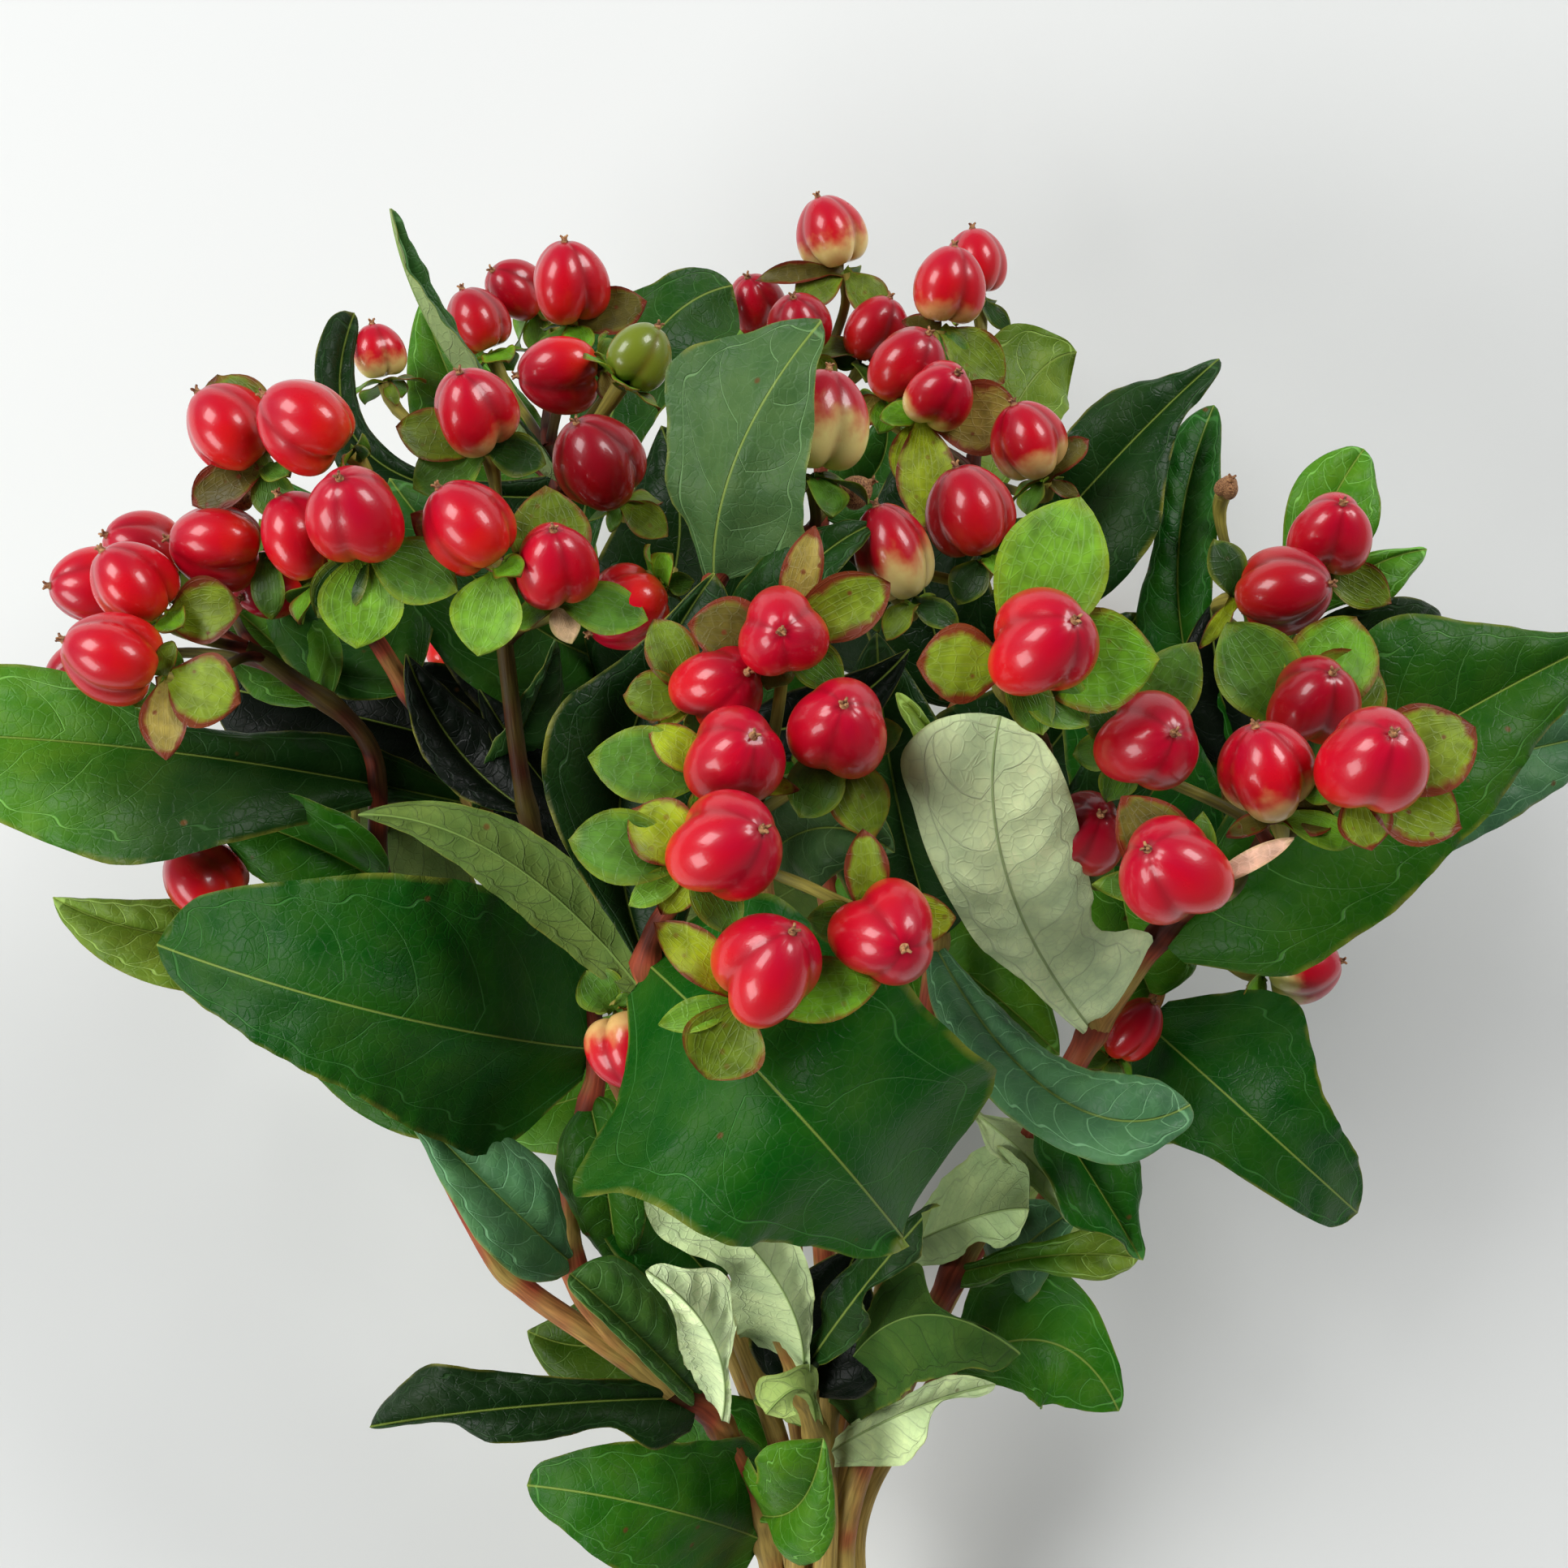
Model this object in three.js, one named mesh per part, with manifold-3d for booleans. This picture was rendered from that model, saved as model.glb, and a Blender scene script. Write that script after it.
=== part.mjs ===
// A bunch of twelve cut hypericum stems, held by a rubber band and laid on a table.
// Millimetres, +Z up, +Y from the cut ends to the berries. The origin is on the table,
// under the middle of the bunch.
//
// Each stem is one solid: a woody stalk with pairs of stalkless leaves, and on top a head
// of three-lobed berries, each on its own short stalk over a ring of five green sepals.
import * as THREE from 'three';
import Module from 'manifold-3d';

const wasm = await Module();
wasm.setup();

// Driving sizes
const berrySize = { length: 14.6, width: 13.4, groove: 0.19 };
const sepalSize = { length: 9.8, belly: 0.31, thick: 0.7, spread: 112, root: 2.6 };
const leafSize = { thick: 0.7, root: 2.6, bend: 4, belly: 0.39, bluntness: 0.8, ripple: 17 };
const berryProfile = [[-0.74, 0.8], [-0.2, 1.06], [0.58, 0.74]];
const hiddenProfile = [[-0.5, 0.92], [0.4, 0.92]];
const stalkSize = { foot: 2.5, fork: 2.1, head: 1.3, twig: 0.85, sides: 5, step: 1.9, bend: 9 };
const bundle = { across: 6.8, along: -172, height: 46, ring: 8.15, core: 2.95, slope: 12 };
const foot = { reach: 158, height: 11.55, spread: 1.22 };
const bandSize = { inner: 10.9, outer: 12.6, width: 7, turns: 3, groove: 0.5, sides: 24 };
const clearance = 0.4;

// Places are given on a plan drawn from an eye above the table: plan units across and
// down from the upper left corner, then the height over the table in mm.
const plan = { middle: 966, halfWidth: 0.45, eye: 390 };

// Where each stem passes through the band: degrees round the ring, or round the core.
const stems = {
  leftFork: {
    seat: ['ring', 170],
    trunk: [[938, 1876, 58], [880, 1745, 70], [826, 1712, 76]],
    forks: [
      [[745, 1630, 84], [708, 1568, 87], [703, 1440, 87], [736, 1305, 89], [702, 1150, 92], [650, 1000, 104],
        [618, 765, 112]],
      [[740, 1652, 82], [650, 1590, 81], [600, 1535, 82], [505, 1330, 86], [468, 1085, 94], [455, 920, 100],
        [345, 825, 106], [302, 798, 109]],
    ],
    leaves: [
      { base: [944, 1900, 56], via: [806, 1856, 80], tip: [650, 1830, 78], width: 28, roll: [-15, -10],
        fold: [-8, -4], left: [6, 12.4, 13.1, 13.3, 12.5, 11.1, 9, 5.9, 2.7],
        right: [6, 12.4, 15.9, 13.4, 11.1, 10, 8.2, 5.7, 3.2] },
      { base: [930, 1872, 60], via: [985, 1852, 80], tip: [1014, 1772, 88], width: 14, roll: [10, 10],
        fold: [10, 5], left: [6, 16.5, 7.2, 7.9, 8.4, 9.2, 10.2, 11.3, 8.4],
        right: [1.3, 0.6, 8, 9.5, 8.2, 5.8, 3.8, 2, 0.6] },
      { base: [850, 1722, 74], via: [650, 1732, 86], tip: [457, 1757, 78], width: 14, roll: [-12, -10],
        fold: [10, 8], wave: 0.8, left: [6, 8.6, 4.5, 5.6, 5.9, 5.1, 1.6, 0.8, 0.6],
        right: [2.2, 3.1, 3.8, 4.6, 5.7, 7.2, 9.5, 6, 1.8] },
      { base: [928, 1765, 72], via: [880, 1655, 100], tip: [796, 1566, 106], width: 13, roll: [170, 164],
        fold: [12, 16], left: [1.3, 0.6, 0.6, 1.3, 4.2, 7, 7.3, 3.8, 2],
        right: [1.4, 4.8, 7.1, 7.1, 6.3, 4.7, 3.1, 2, 1.2] },
      { base: [872, 1735, 70], via: [785, 1645, 88], tip: [702, 1570, 92], width: 15, roll: [10, 20],
        fold: [10, 10], left: [1.3, 2.5, 2.8, 2.9, 2.8, 2.7, 2.8, 2.7, 1.8],
        right: [1.3, 2.1, 4.4, 6.4, 7.6, 8.3, 8.1, 6.9, 2.4] },
      { base: [704, 1568, 89], via: [622, 1482, 98], tip: [508, 1368, 94], width: 20, roll: [12, 10],
        fold: [12, 10], left: [1.3, 5.2, 7.9, 8.5, 8.1, 6.6, 5.1, 3, 1.8],
        right: [1.3, 2.3, 5.1, 7.9, 9.1, 8.7, 7.6, 5.4, 3.2] },
      { base: [722, 1306, 97], via: [478, 1250, 120], tip: [194, 1164, 116], width: 41, roll: [-14, -20],
        fold: [-14, -18], left: [6, 20.9, 20.4, 18.3, 15.2, 13.6, 11.4, 8.3, 4.7],
        right: [6, 20.9, 22.4, 23, 22.2, 20.2, 16.5, 12.6, 7] },
      { base: [700, 1360, 95], via: [748, 1460, 92], tip: [762, 1572, 80], width: 17, roll: [30, 20],
        fold: [10, 5] },
      { base: [470, 1080, 94], via: [360, 1030, 101], tip: [238, 992, 96], width: 20, roll: [-30, -30],
        fold: [16, 12] },
      { base: [405, 872, 103], via: [345, 800, 94], tip: [262, 728, 90], width: 18, hidden: true,
        roll: [0, 0], fold: [8, 8] },
      { base: [650, 1000, 104], via: [560, 920, 100], tip: [500, 806, 104], width: 14, roll: [30, 20],
        fold: [15, 10] },
    ],
    heads: [
      [
        { at: [583, 506, 118], tip: [568, 464], turn: 10, pale: 0.35, size: 0.98,
          sepals: { spread: 95, turn: 50 } },
        { at: [577, 649, 131], tip: [541, 602], turn: 40, size: 1.02,
          sepals: { spread: 125, turn: 10, length: 8.5 } },
        { at: [684, 696, 127], tip: [682, 655], turn: 0, pale: 0.15, size: 0.95,
          sepals: { spread: 100, turn: 20, length: 8 } },
        { at: [772, 750, 117], tip: [724, 782], turn: 20, size: 1.0, sepals: { spread: 80, turn: 0 } },
      ],
      [
        { at: [115, 724, 110], tip: [69, 722], turn: 0, size: 0.95 },
        { at: [164, 719, 122], tip: [129, 682], turn: 30, size: 0.95 },
        { at: [177, 676, 96], hidden: true, tip: [138, 662], turn: 20, size: 0.95 },
        { at: [139, 810, 131], tip: [83, 790], turn: 35, size: 1.04,
          sepals: { spread: 140, turn: 15, length: 12.5 } },
        { at: [104, 836, 104], hidden: true, tip: [66, 850], turn: 0, size: 0.9,
          sepals: { spread: 95, turn: 0 } },
      ],
    ],
  },
  leftUpper: {
    seat: ['ring', 130],
    trunk: [[976, 1850, 56], [900, 1620, 68], [720, 1250, 80], [575, 975, 89], [480, 815, 102],
      [408, 710, 111]],
    leaves: [
      { base: [600, 985, 90], via: [190, 925, 108], tip: [-170, 905, 106], width: 36,
        roll: [24, 20, 8, 0], fold: [14, 10, 4], wave: 1.4,
        left: [2.5, 2.4, 9.7, 16.7, 20.5, 17.6, 12.9, 8.7, 3.6],
        right: [2.7, 5.1, 6.9, 5.4, 5.1, 10.6, 12, 8.8, 3.8] },
      { base: [620, 985, 88], via: [645, 890, 100], tip: [684, 788, 112], width: 13, roll: [40, 60],
        fold: [10, 10] },
      { base: [500, 850, 99], via: [420, 735, 91], tip: [340, 590, 87], width: 28, hidden: true,
        roll: [0, 0], fold: [8, 8] },
      { base: [880, 1580, 69], via: [800, 1500, 82], tip: [700, 1440, 82], width: 20, hidden: true,
        roll: [0, 10], fold: [10, 10] },
    ],
    heads: [
      [
        { at: [285, 528, 119], tip: [241, 481], turn: 20, size: 1.04 },
        { at: [377, 522, 129], tip: [326, 487], turn: 50, size: 1.04, sepals: { spread: 120, turn: 30 } },
        { at: [370, 661, 121], tip: [344, 612], turn: 10, size: 1.0, sepals: { length: 8 } },
        { at: [436, 634, 136], tip: [420, 594], turn: 30, size: 1.05,
          sepals: { spread: 135, turn: 54, length: 11.5 } },
        { at: [268, 672, 117], tip: [211, 664], turn: 45, size: 1.04, sepals: { spread: 120, turn: 0 } },
        { at: [328, 722, 104], hidden: true, tip: [300, 735], turn: 0, size: 0.85,
          sepals: { spread: 100, turn: 10 } },
        { at: [292, 610, 112], tip: [270, 606], turn: 0, size: 0.42, kind: 'withered',
          from: [408, 710, 111] },
      ],
    ],
  },
  topLeft: {
    seat: ['core', 210],
    trunk: [[998, 1850, 47], [930, 1500, 60], [820, 1100, 70], [730, 780, 76], [675, 550, 80]],
    leaves: [
      { base: [656, 600, 80], via: [546, 430, 92], tip: [481, 257, 100], width: 23, roll: [62, 68],
        fold: [38, 40], left: [6, 10.2, 11.1, 11.5, 10.1, 6.5, 2.1, 0.9, 0.6],
        right: [1.8, 1.9, 2.4, 3.1, 4, 4.1, 3.5, 2.6, 1.4] },
      { base: [712, 700, 78], via: [782, 450, 72], tip: [902, 352, 58], width: 32, roll: [-16, -20],
        fold: [-12, -10], left: [2.4, 4, 6.2, 8.5, 9.6, 11.5, 8, 6.6, 3.1],
        right: [2.6, 3.9, 5.9, 7.9, 9.2, 10.8, 10.7, 9.9, 7.3] },
      { base: [665, 620, 79], via: [455, 560, 76], tip: [436, 386, 64], width: 17, roll: [0, 10],
        fold: [12, 10], left: [5.1, 8.4, 10.5, 9.3, 6.4, 4.5, 4.6, 4.9, 3.6],
        right: [4.2, 2.7, 2.2, 2.5, 3.1, 3.1, 3, 2.3, 1.7] },
      { base: [740, 815, 76], via: [610, 735, 91], tip: [480, 590, 88], width: 30, hidden: true,
        roll: [0, 10], fold: [8, 8] },
      { base: [790, 1000, 71], via: [600, 925, 71], tip: [268, 846, 70], width: 32, hidden: true,
        roll: [0, 10], fold: [8, 8], left: [3, 9, 13, 15, 15.5, 15, 14, 12, 8],
        right: [3, 8, 12, 14, 14.5, 13.5, 11, 8, 4] },
      { base: [880, 1330, 66], via: [740, 1345, 63], tip: [580, 1400, 60], width: 27, hidden: true,
        roll: [0, 10], fold: [8, 8] },
      { base: [724, 760, 76], via: [592, 545, 52], tip: [520, 370, 46], width: 26, hidden: true,
        roll: [10, 10], fold: [10, 10] },
      { base: [748, 850, 75], via: [832, 700, 88], tip: [815, 525, 88], width: 28, hidden: true,
        roll: [0, 0], fold: [10, 10] },
      { base: [760, 900, 74], via: [640, 800, 74], tip: [490, 690, 72], width: 27, hidden: true,
        roll: [0, 0], fold: [8, 8] },
      { base: [820, 1100, 70], via: [700, 1000, 92], tip: [590, 850, 94], width: 20, roll: [20, 40],
        fold: [14, 10] },
    ],
    heads: [
      [
        { at: [634, 357, 54], hidden: true, tip: [610, 336], turn: 0, size: 0.86 },
        { at: [700, 349, 87], tip: [696, 302], turn: 10, size: 1.03,
          sepals: { spread: 75, turn: 30, length: 8.5 } },
        { at: [587, 396, 62], hidden: true, tip: [568, 353], turn: 30, size: 0.9 },
        { at: [689, 459, 98], tip: [631, 463], turn: 45, size: 1.0, sepals: { length: 8 } },
        { at: [466, 434, 62], tip: [458, 398], turn: 0, pale: 0.5, size: 0.75 },
        { at: [737, 569, 113], tip: [712, 524], turn: 20, size: 1.1, dark: 0.5 },
        { at: [788, 438, 108], tip: [818, 390], turn: 0, size: 0.78, kind: 'bud',
          sepals: { spread: 84, turn: 0, length: 8 } },
      ],
    ],
  },
  centre: {
    seat: ['core', 90],
    trunk: [[1018, 1850, 52], [1012, 1500, 74], [950, 1150, 92], [895, 850, 108], [880, 716, 119],
      [1000, 655, 117]],
    leaves: [
      { base: [876, 716, 119], via: [908, 562, 137], tip: [1012, 396, 138], width: 37, roll: [-18, -26],
        fold: [-10, -16], wave: 0.8, left: [1.3, 4.1, 8.5, 11.2, 14.6, 17.5, 15.6, 10.3, 3.2],
        right: [1.8, 9, 13.1, 12.5, 11.4, 9.6, 7.1, 4.1, 1.5] },
      { base: [897, 850, 108], via: [975, 722, 128], tip: [1080, 645, 126], width: 13, roll: [-30, -30],
        fold: [14, 10] },
      { base: [935, 1070, 95], via: [1010, 1020, 116], tip: [1102, 1050, 120], width: 20, hidden: true,
        roll: [0, 10], fold: [12, 10] },
      { base: [905, 900, 105], via: [1020, 880, 108], tip: [1120, 800, 112], width: 12, hidden: true,
        roll: [0, 10], fold: [10, 10] },
      { base: [1040, 1728, 58], via: [1112, 1625, 102], tip: [1256, 1668, 98], width: 23,
        roll: [150, 160], fold: [10, 14], left: [6, 8.6, 10.6, 10.7, 10.4, 10.1, 9, 6.2, 4.7],
        right: [4.4, 3.5, 2.6, 7.7, 10.4, 2.9, 0.6, 0.6, 0.6] },
      { base: [1036, 1790, 55], via: [1120, 1738, 82], tip: [1226, 1706, 86], width: 11,
        roll: [160, 165], fold: [14, 14], left: [2.7, 4.7, 6.7, 7.9, 6, 1.4, 0.6, 1.4, 1.1],
        right: [1.3, 2.7, 3.2, 2.7, 3, 4, 3.8, 2.7, 0.6] },
    ],
    heads: [
      [
        { at: [1101, 682, 124], tip: [1077, 616], turn: 30, pale: 0.6, size: 1.12, slim: 0.8,
          sepals: { spread: 150, turn: 0, length: 8 } },
        { at: [1012, 520, 124], hidden: true, tip: [1022, 452], turn: 0, pale: 0.8, size: 1.14,
          slim: 0.95, sepals: { spread: 120, turn: 10 } },
        { at: [1054, 605, 111], tip: [1077, 592], turn: 0, size: 0.4, kind: 'withered' },
        { at: [1195, 631, 117], tip: [1176, 570], turn: 25, size: 1.06, dark: 0.2,
          sepals: { spread: 130, turn: 20 } },
      ],
    ],
  },
  topCentre: {
    seat: ['ring', 290],
    trunk: [[1034, 1850, 39], [1040, 1500, 48], [1020, 1100, 52], [1012, 750, 54], [1012, 470, 54]],
    leaves: [
      { base: [1012, 630, 54], via: [1080, 580, 60], tip: [1090, 500, 64], width: 16, roll: [0, 0],
        fold: [10, 10] },
      { base: [1020, 1100, 52], via: [1165, 1180, 59], tip: [1305, 1300, 58], width: 30, hidden: true,
        roll: [0, 0], fold: [6, 6] },
      { base: [1014, 800, 54], via: [1060, 730, 68], tip: [1090, 630, 72], width: 28, hidden: true,
        roll: [0, 0], fold: [10, 10] },
    ],
    heads: [
      [
        { at: [1023, 288, 62], tip: [1008, 244], turn: 20, pale: 0.55, size: 1.0,
          sepals: { spread: 105, turn: 0, length: 11 } },
        { at: [930, 374, 50], hidden: true, tip: [922, 345], turn: 0, size: 0.85,
          sepals: { spread: 100, turn: 10 } },
        { at: [985, 402, 70], hidden: true, tip: [978, 370], turn: 20, size: 0.9 },
        { at: [1079, 408, 64], tip: [1096, 368], turn: 0, size: 0.95, dark: 0.2 },
      ],
    ],
  },
  topRight: {
    seat: ['core', 330],
    trunk: [[1036, 1850, 47], [1106, 1500, 62], [1160, 1100, 72], [1185, 800, 76], [1200, 560, 79]],
    leaves: [
      { base: [1186, 790, 76], via: [1352, 590, 90], tip: [1502, 443, 88], width: 30, roll: [-10, -24],
        fold: [14, 10], left: [1.3, 0.6, 3.6, 6.1, 8.7, 9.5, 7.3, 2.9, 0.9],
        right: [6, 14, 15.6, 17.2, 15.8, 9.4, 4.6, 3.3, 1.6] },
      { base: [1192, 690, 78], via: [1252, 500, 70], tip: [1326, 434, 62], width: 26, roll: [20, 10],
        fold: [-10, -10], left: [1.4, 2.7, 4.4, 6.4, 8.6, 10.6, 9.8, 4.6, 0.6],
        right: [1.3, 2.1, 4.2, 6.7, 8.7, 9.3, 9.3, 9, 6.8] },
      { base: [1150, 1170, 71], via: [1300, 1350, 112], tip: [1466, 1362, 116], width: 18,
        roll: [-10, -14], fold: [6, 4], left: [1.3, 3, 4.5, 5, 6, 7, 7.4, 6.8, 4.5],
        right: [1.9, 5.8, 7, 7.6, 7.5, 7.2, 7.1, 4.2, 2.5] },
      { base: [1112, 1545, 61], via: [1195, 1502, 92], tip: [1268, 1490, 104], width: 20,
        roll: [165, 165], fold: [10, 14], left: [3.1, 4.4, 5.6, 5.2, 3.9, 5.8, 5.4, 3.7, 1.5],
        right: [1.3, 3.1, 7.9, 10.6, 12.5, 12.1, 9.8, 7.4, 0.7] },
      { base: [1138, 1312, 64], via: [1262, 1422, 94], tip: [1328, 1507, 98], width: 8, roll: [160, 160],
        fold: [10, 14], left: [1.3, 0.6, 0.6, 3.6, 3, 2.9, 2.6, 2, 1.5],
        right: [1.3, 0.6, 0.6, 4.9, 5, 1.7, 0.6, 0.6, 0.6] },
      { base: [1183, 870, 75], via: [1135, 710, 82], tip: [1120, 555, 82], width: 24, roll: [0, 0],
        fold: [10, 10] },
      { base: [1172, 1000, 73], via: [1270, 950, 82], tip: [1402, 755, 82], width: 26, hidden: true,
        roll: [0, 0], fold: [10, 10], left: [5, 12, 17, 19, 18, 15, 11, 7, 3],
        right: [3, 7, 11, 13, 13, 12, 9, 6, 2] },
      { base: [1160, 1150, 71], via: [1104, 980, 92], tip: [1080, 780, 98], width: 27, hidden: true,
        roll: [0, 0], fold: [10, 10] },
    ],
    heads: [
      [
        { at: [1168, 353, 80], tip: [1176, 305], turn: 0, pale: 0.3, size: 1.0,
          sepals: { spread: 125, turn: 20, length: 10.5 } },
        { at: [1202, 324, 62], hidden: true, tip: [1198, 282], turn: 30, size: 0.9,
          sepals: { spread: 100, turn: 0 } },
        { at: [1119, 452, 92], tip: [1142, 414], turn: 0, size: 1.0,
          sepals: { spread: 120, turn: 30, length: 11 } },
        { at: [1158, 486, 102], tip: [1178, 462], turn: 10, pale: 0.5, size: 0.85 },
        { at: [1267, 544, 104], tip: [1249, 498], turn: 20, pale: 0.45, size: 0.95,
          sepals: { spread: 105, turn: 0 } },
      ],
    ],
  },
  frontCentre: {
    seat: ['ring', 90],
    trunk: [[1018, 1850, 60], [985, 1700, 78], [915, 1540, 96], [840, 1350, 112], [797, 1187, 128],
      [850, 1085, 138], [925, 1005, 138]],
    leaves: [
      { base: [830, 1195, 130], via: [962, 1350, 157], tip: [1112, 1524, 132], width: 66, roll: [6, -4],
        fold: [-10, -10], wave: 1.8, left: [6, 18.5, 19.8, 21, 22.9, 22.9, 23.9, 24.1, 5.9],
        right: [6, 16.7, 29.7, 24.5, 22.2, 20.1, 16.5, 10.8, 4.4] },
      { base: [794, 1184, 128], via: [768, 950, 128], tip: [880, 706, 131], width: 30, roll: [12, 16],
        fold: [22, 18], left: [1.3, 3.8, 7.8, 12, 15, 13.9, 6.7, 2.8, 0.7],
        right: [5.2, 10, 12, 13, 14, 14, 13, 9, 4] },
      { base: [812, 1235, 122], via: [624, 1060, 127], tip: [442, 1004, 121], width: 12,
        roll: [158, 170], fold: [-8, 20] },
      { base: [985, 1705, 76], via: [955, 1575, 110], tip: [800, 1436, 118], width: 19, roll: [172, 176],
        fold: [8, 14], wave: 1, left: [1.3, 0.6, 2.3, 4.4, 6, 6.9, 7.3, 6, 3.7],
        right: [6, 11, 10.8, 9.8, 7.5, 5.6, 8.1, 8.7, 4.6] },
      { base: [1006, 1760, 67], via: [990, 1712, 88], tip: [944, 1742, 92], width: 10, roll: [170, 170],
        fold: [10, 10], left: [1.3, 0.6, 0.6, 1.9, 4.4, 3.2, 3.5, 4.8, 3],
        right: [6, 10.6, 10.6, 9.5, 4.9, 3.8, 4.1, 3.9, 2.9] },
      { base: [985, 1698, 77], via: [1048, 1608, 101], tip: [1147, 1490, 122], width: 16,
        roll: [-10, -24], fold: [-12, -10], wave: 2, left: [3.6, 3.1, 2.6, 3.7, 4.8, 4.8, 4.7, 2.3, 1.7],
        right: [1.3, 0.8, 2.9, 4.3, 3.2, 1.3, 2.7, 2.8, 1.6] },
      { base: [985, 1715, 75], via: [1015, 1638, 80], tip: [1058, 1535, 86], width: 25, hidden: true,
        roll: [0, 0], fold: [8, 8] },
    ],
    heads: [
      [
        { at: [965, 781, 152], tip: [963, 778], turn: 40, size: 0.94,
          sepals: { spread: 82, turn: 28, length: 11.5 } },
        { at: [887, 845, 144], tip: [922, 828], turn: 10, size: 0.98,
          sepals: { spread: 95, turn: 40, length: 11 } },
        { at: [1035, 896, 154], tip: [1040, 868], turn: 10, size: 1.02,
          sepals: { spread: 98, turn: 20, length: 11 } },
        { at: [906, 931, 156], tip: [929, 906], turn: 30, size: 1.02,
          sepals: { spread: 100, turn: 10, length: 11 } },
        { at: [896, 1042, 170], tip: [942, 1021], turn: 25, size: 1.08,
          sepals: { spread: 100, turn: 40, length: 12 } },
        { at: [947, 1191, 168], tip: [979, 1145], turn: 50, pale: 0.2, size: 1.06,
          sepals: { spread: 115, turn: 10, length: 10.5 } },
        { at: [1092, 1151, 164], tip: [1114, 1168], turn: 5, size: 1.04,
          sepals: { spread: 92, turn: 30, length: 11 } },
        { at: [770, 1292, 124], tip: [783, 1346], turn: 0, pale: 0.4, size: 0.86, from: [834, 1334, 113],
          sepals: { spread: 120, turn: 30, length: 8.5 } },
      ],
    ],
  },
  rightFork: {
    seat: ['ring', 50],
    trunk: [[1048, 1850, 57], [1165, 1590, 75], [1290, 1370, 90], [1352, 1260, 99]],
    forks: [
      [[1435, 1145, 108], [1505, 1085, 117], [1562, 1045, 123]],
      [[1300, 1080, 113], [1286, 920, 128]],
    ],
    leaves: [
      { base: [1352, 1275, 98], via: [1242, 1085, 134], tip: [1232, 882, 144], width: 27,
        roll: [186, 190], fold: [-10, -8], left: [6, 16.7, 9.8, 11.3, 11.8, 11.7, 10.9, 8.9, 5.1],
        right: [1.5, 3, 4.6, 7.6, 8.9, 10.3, 11.5, 12.9, 5.7] },
      { base: [1425, 1150, 107], via: [1700, 940, 115], tip: [2012, 772, 108], width: 37, roll: [10, 8],
        fold: [8, 8], left: [1.3, 3.9, 8.4, 12.7, 16.5, 19.4, 11.6, 4.1, 0.9],
        right: [6, 17.8, 19.6, 19.9, 17.6, 15.1, 9.8, 5.8, 2.4] },
      { base: [1182, 1575, 76], via: [1300, 1546, 92], tip: [1402, 1550, 90], width: 10, roll: [14, 20],
        fold: [12, 10], left: [1.3, 1.3, 2.3, 2.9, 2.9, 4.3, 6, 4.4, 1.6],
        right: [2.7, 3.3, 1.9, 2.3, 3.4, 4.2, 4.6, 3.2, 1.6] },
      { base: [1290, 1370, 90], via: [1345, 1452, 100], tip: [1404, 1552, 98], width: 20,
        roll: [-20, -30], fold: [14, 14], wave: 1, left: [1.8, 4, 6.6, 9.1, 8.7, 7.2, 5.7, 2.6, 0.6],
        right: [3.8, 4.7, 7.1, 8.5, 9, 9, 4.5, 1.6, 0.7] },
      { base: [1300, 1060, 114], via: [1392, 930, 122], tip: [1462, 796, 118], width: 12, roll: [10, 10],
        fold: [12, 10] },
      { base: [1318, 1140, 107], via: [1212, 992, 118], tip: [1104, 854, 120], width: 11, roll: [30, 40],
        fold: [14, 10], left: [2.4, 4.2, 5.8, 6.4, 6.8, 6.4, 5.2, 3.2, 0.9],
        right: [2.1, 3.2, 4.5, 4.2, 3.8, 2.5, 0.9, 1.4, 1.1] },
    ],
    heads: [
      [
        { at: [1417, 915, 147], tip: [1445, 904], turn: 15, size: 1.06, dark: 0.25,
          sepals: { spread: 100, turn: 0, length: 10 } },
        { at: [1560, 949, 146], tip: [1546, 892], turn: 10, pale: 0.45, size: 1.02,
          sepals: { spread: 128, turn: 12, length: 12 } },
        { at: [1618, 864, 128], tip: [1640, 832], turn: 30, size: 1.04,
          sepals: { spread: 85, turn: 0, length: 12.5 } },
        { at: [1693, 936, 154], tip: [1715, 906], turn: 20, size: 1.1, from: [1562, 1045, 123],
          sepals: { spread: 98, turn: 46, length: 12.5 } },
        { at: [1445, 1072, 158], tip: [1410, 1043], turn: 45, size: 1.1,
          sepals: { spread: 112, turn: 30, length: 12 } },
        { at: [1336, 1026, 132], hidden: true, tip: [1356, 1004], turn: 10, size: 0.95 },
        { at: [1396, 1268, 89], tip: [1422, 1234], turn: 0, size: 0.92, slim: 0.72,
          from: [1290, 1370, 90], sepals: { spread: 120, turn: 0, length: 7 } },
      ],
      [
        { at: [1285, 792, 164], tip: [1322, 766], turn: 40, size: 1.08,
          sepals: { spread: 84, turn: 12, length: 16 } },
      ],
    ],
  },
  rightUpper: {
    seat: ['ring', 10],
    trunk: [[1064, 1850, 50], [1196, 1640, 57], [1400, 1270, 68], [1500, 1020, 78], [1560, 810, 92]],
    leaves: [
      { base: [1405, 1262, 68], via: [1540, 1375, 90], tip: [1672, 1494, 72], width: 37, roll: [-8, -10],
        fold: [-12, -8], left: [6, 15.9, 20.6, 20.7, 17.5, 13.2, 10.1, 8.1, 3.8],
        right: [4.4, 12, 14, 12.5, 9.9, 8.8, 7.7, 6.5, 4.5] },
      { base: [1484, 1060, 77], via: [1760, 958, 92], tip: [2000, 900, 84], width: 27, roll: [10, 10],
        fold: [10, 10] },
      { base: [1520, 960, 80], via: [1452, 735, 84], tip: [1496, 500, 76], width: 18, roll: [-10, -14],
        fold: [14, 10], left: [3, 6.2, 8.7, 8.5, 6.8, 4.5, 4.5, 5.3, 2.3],
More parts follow.
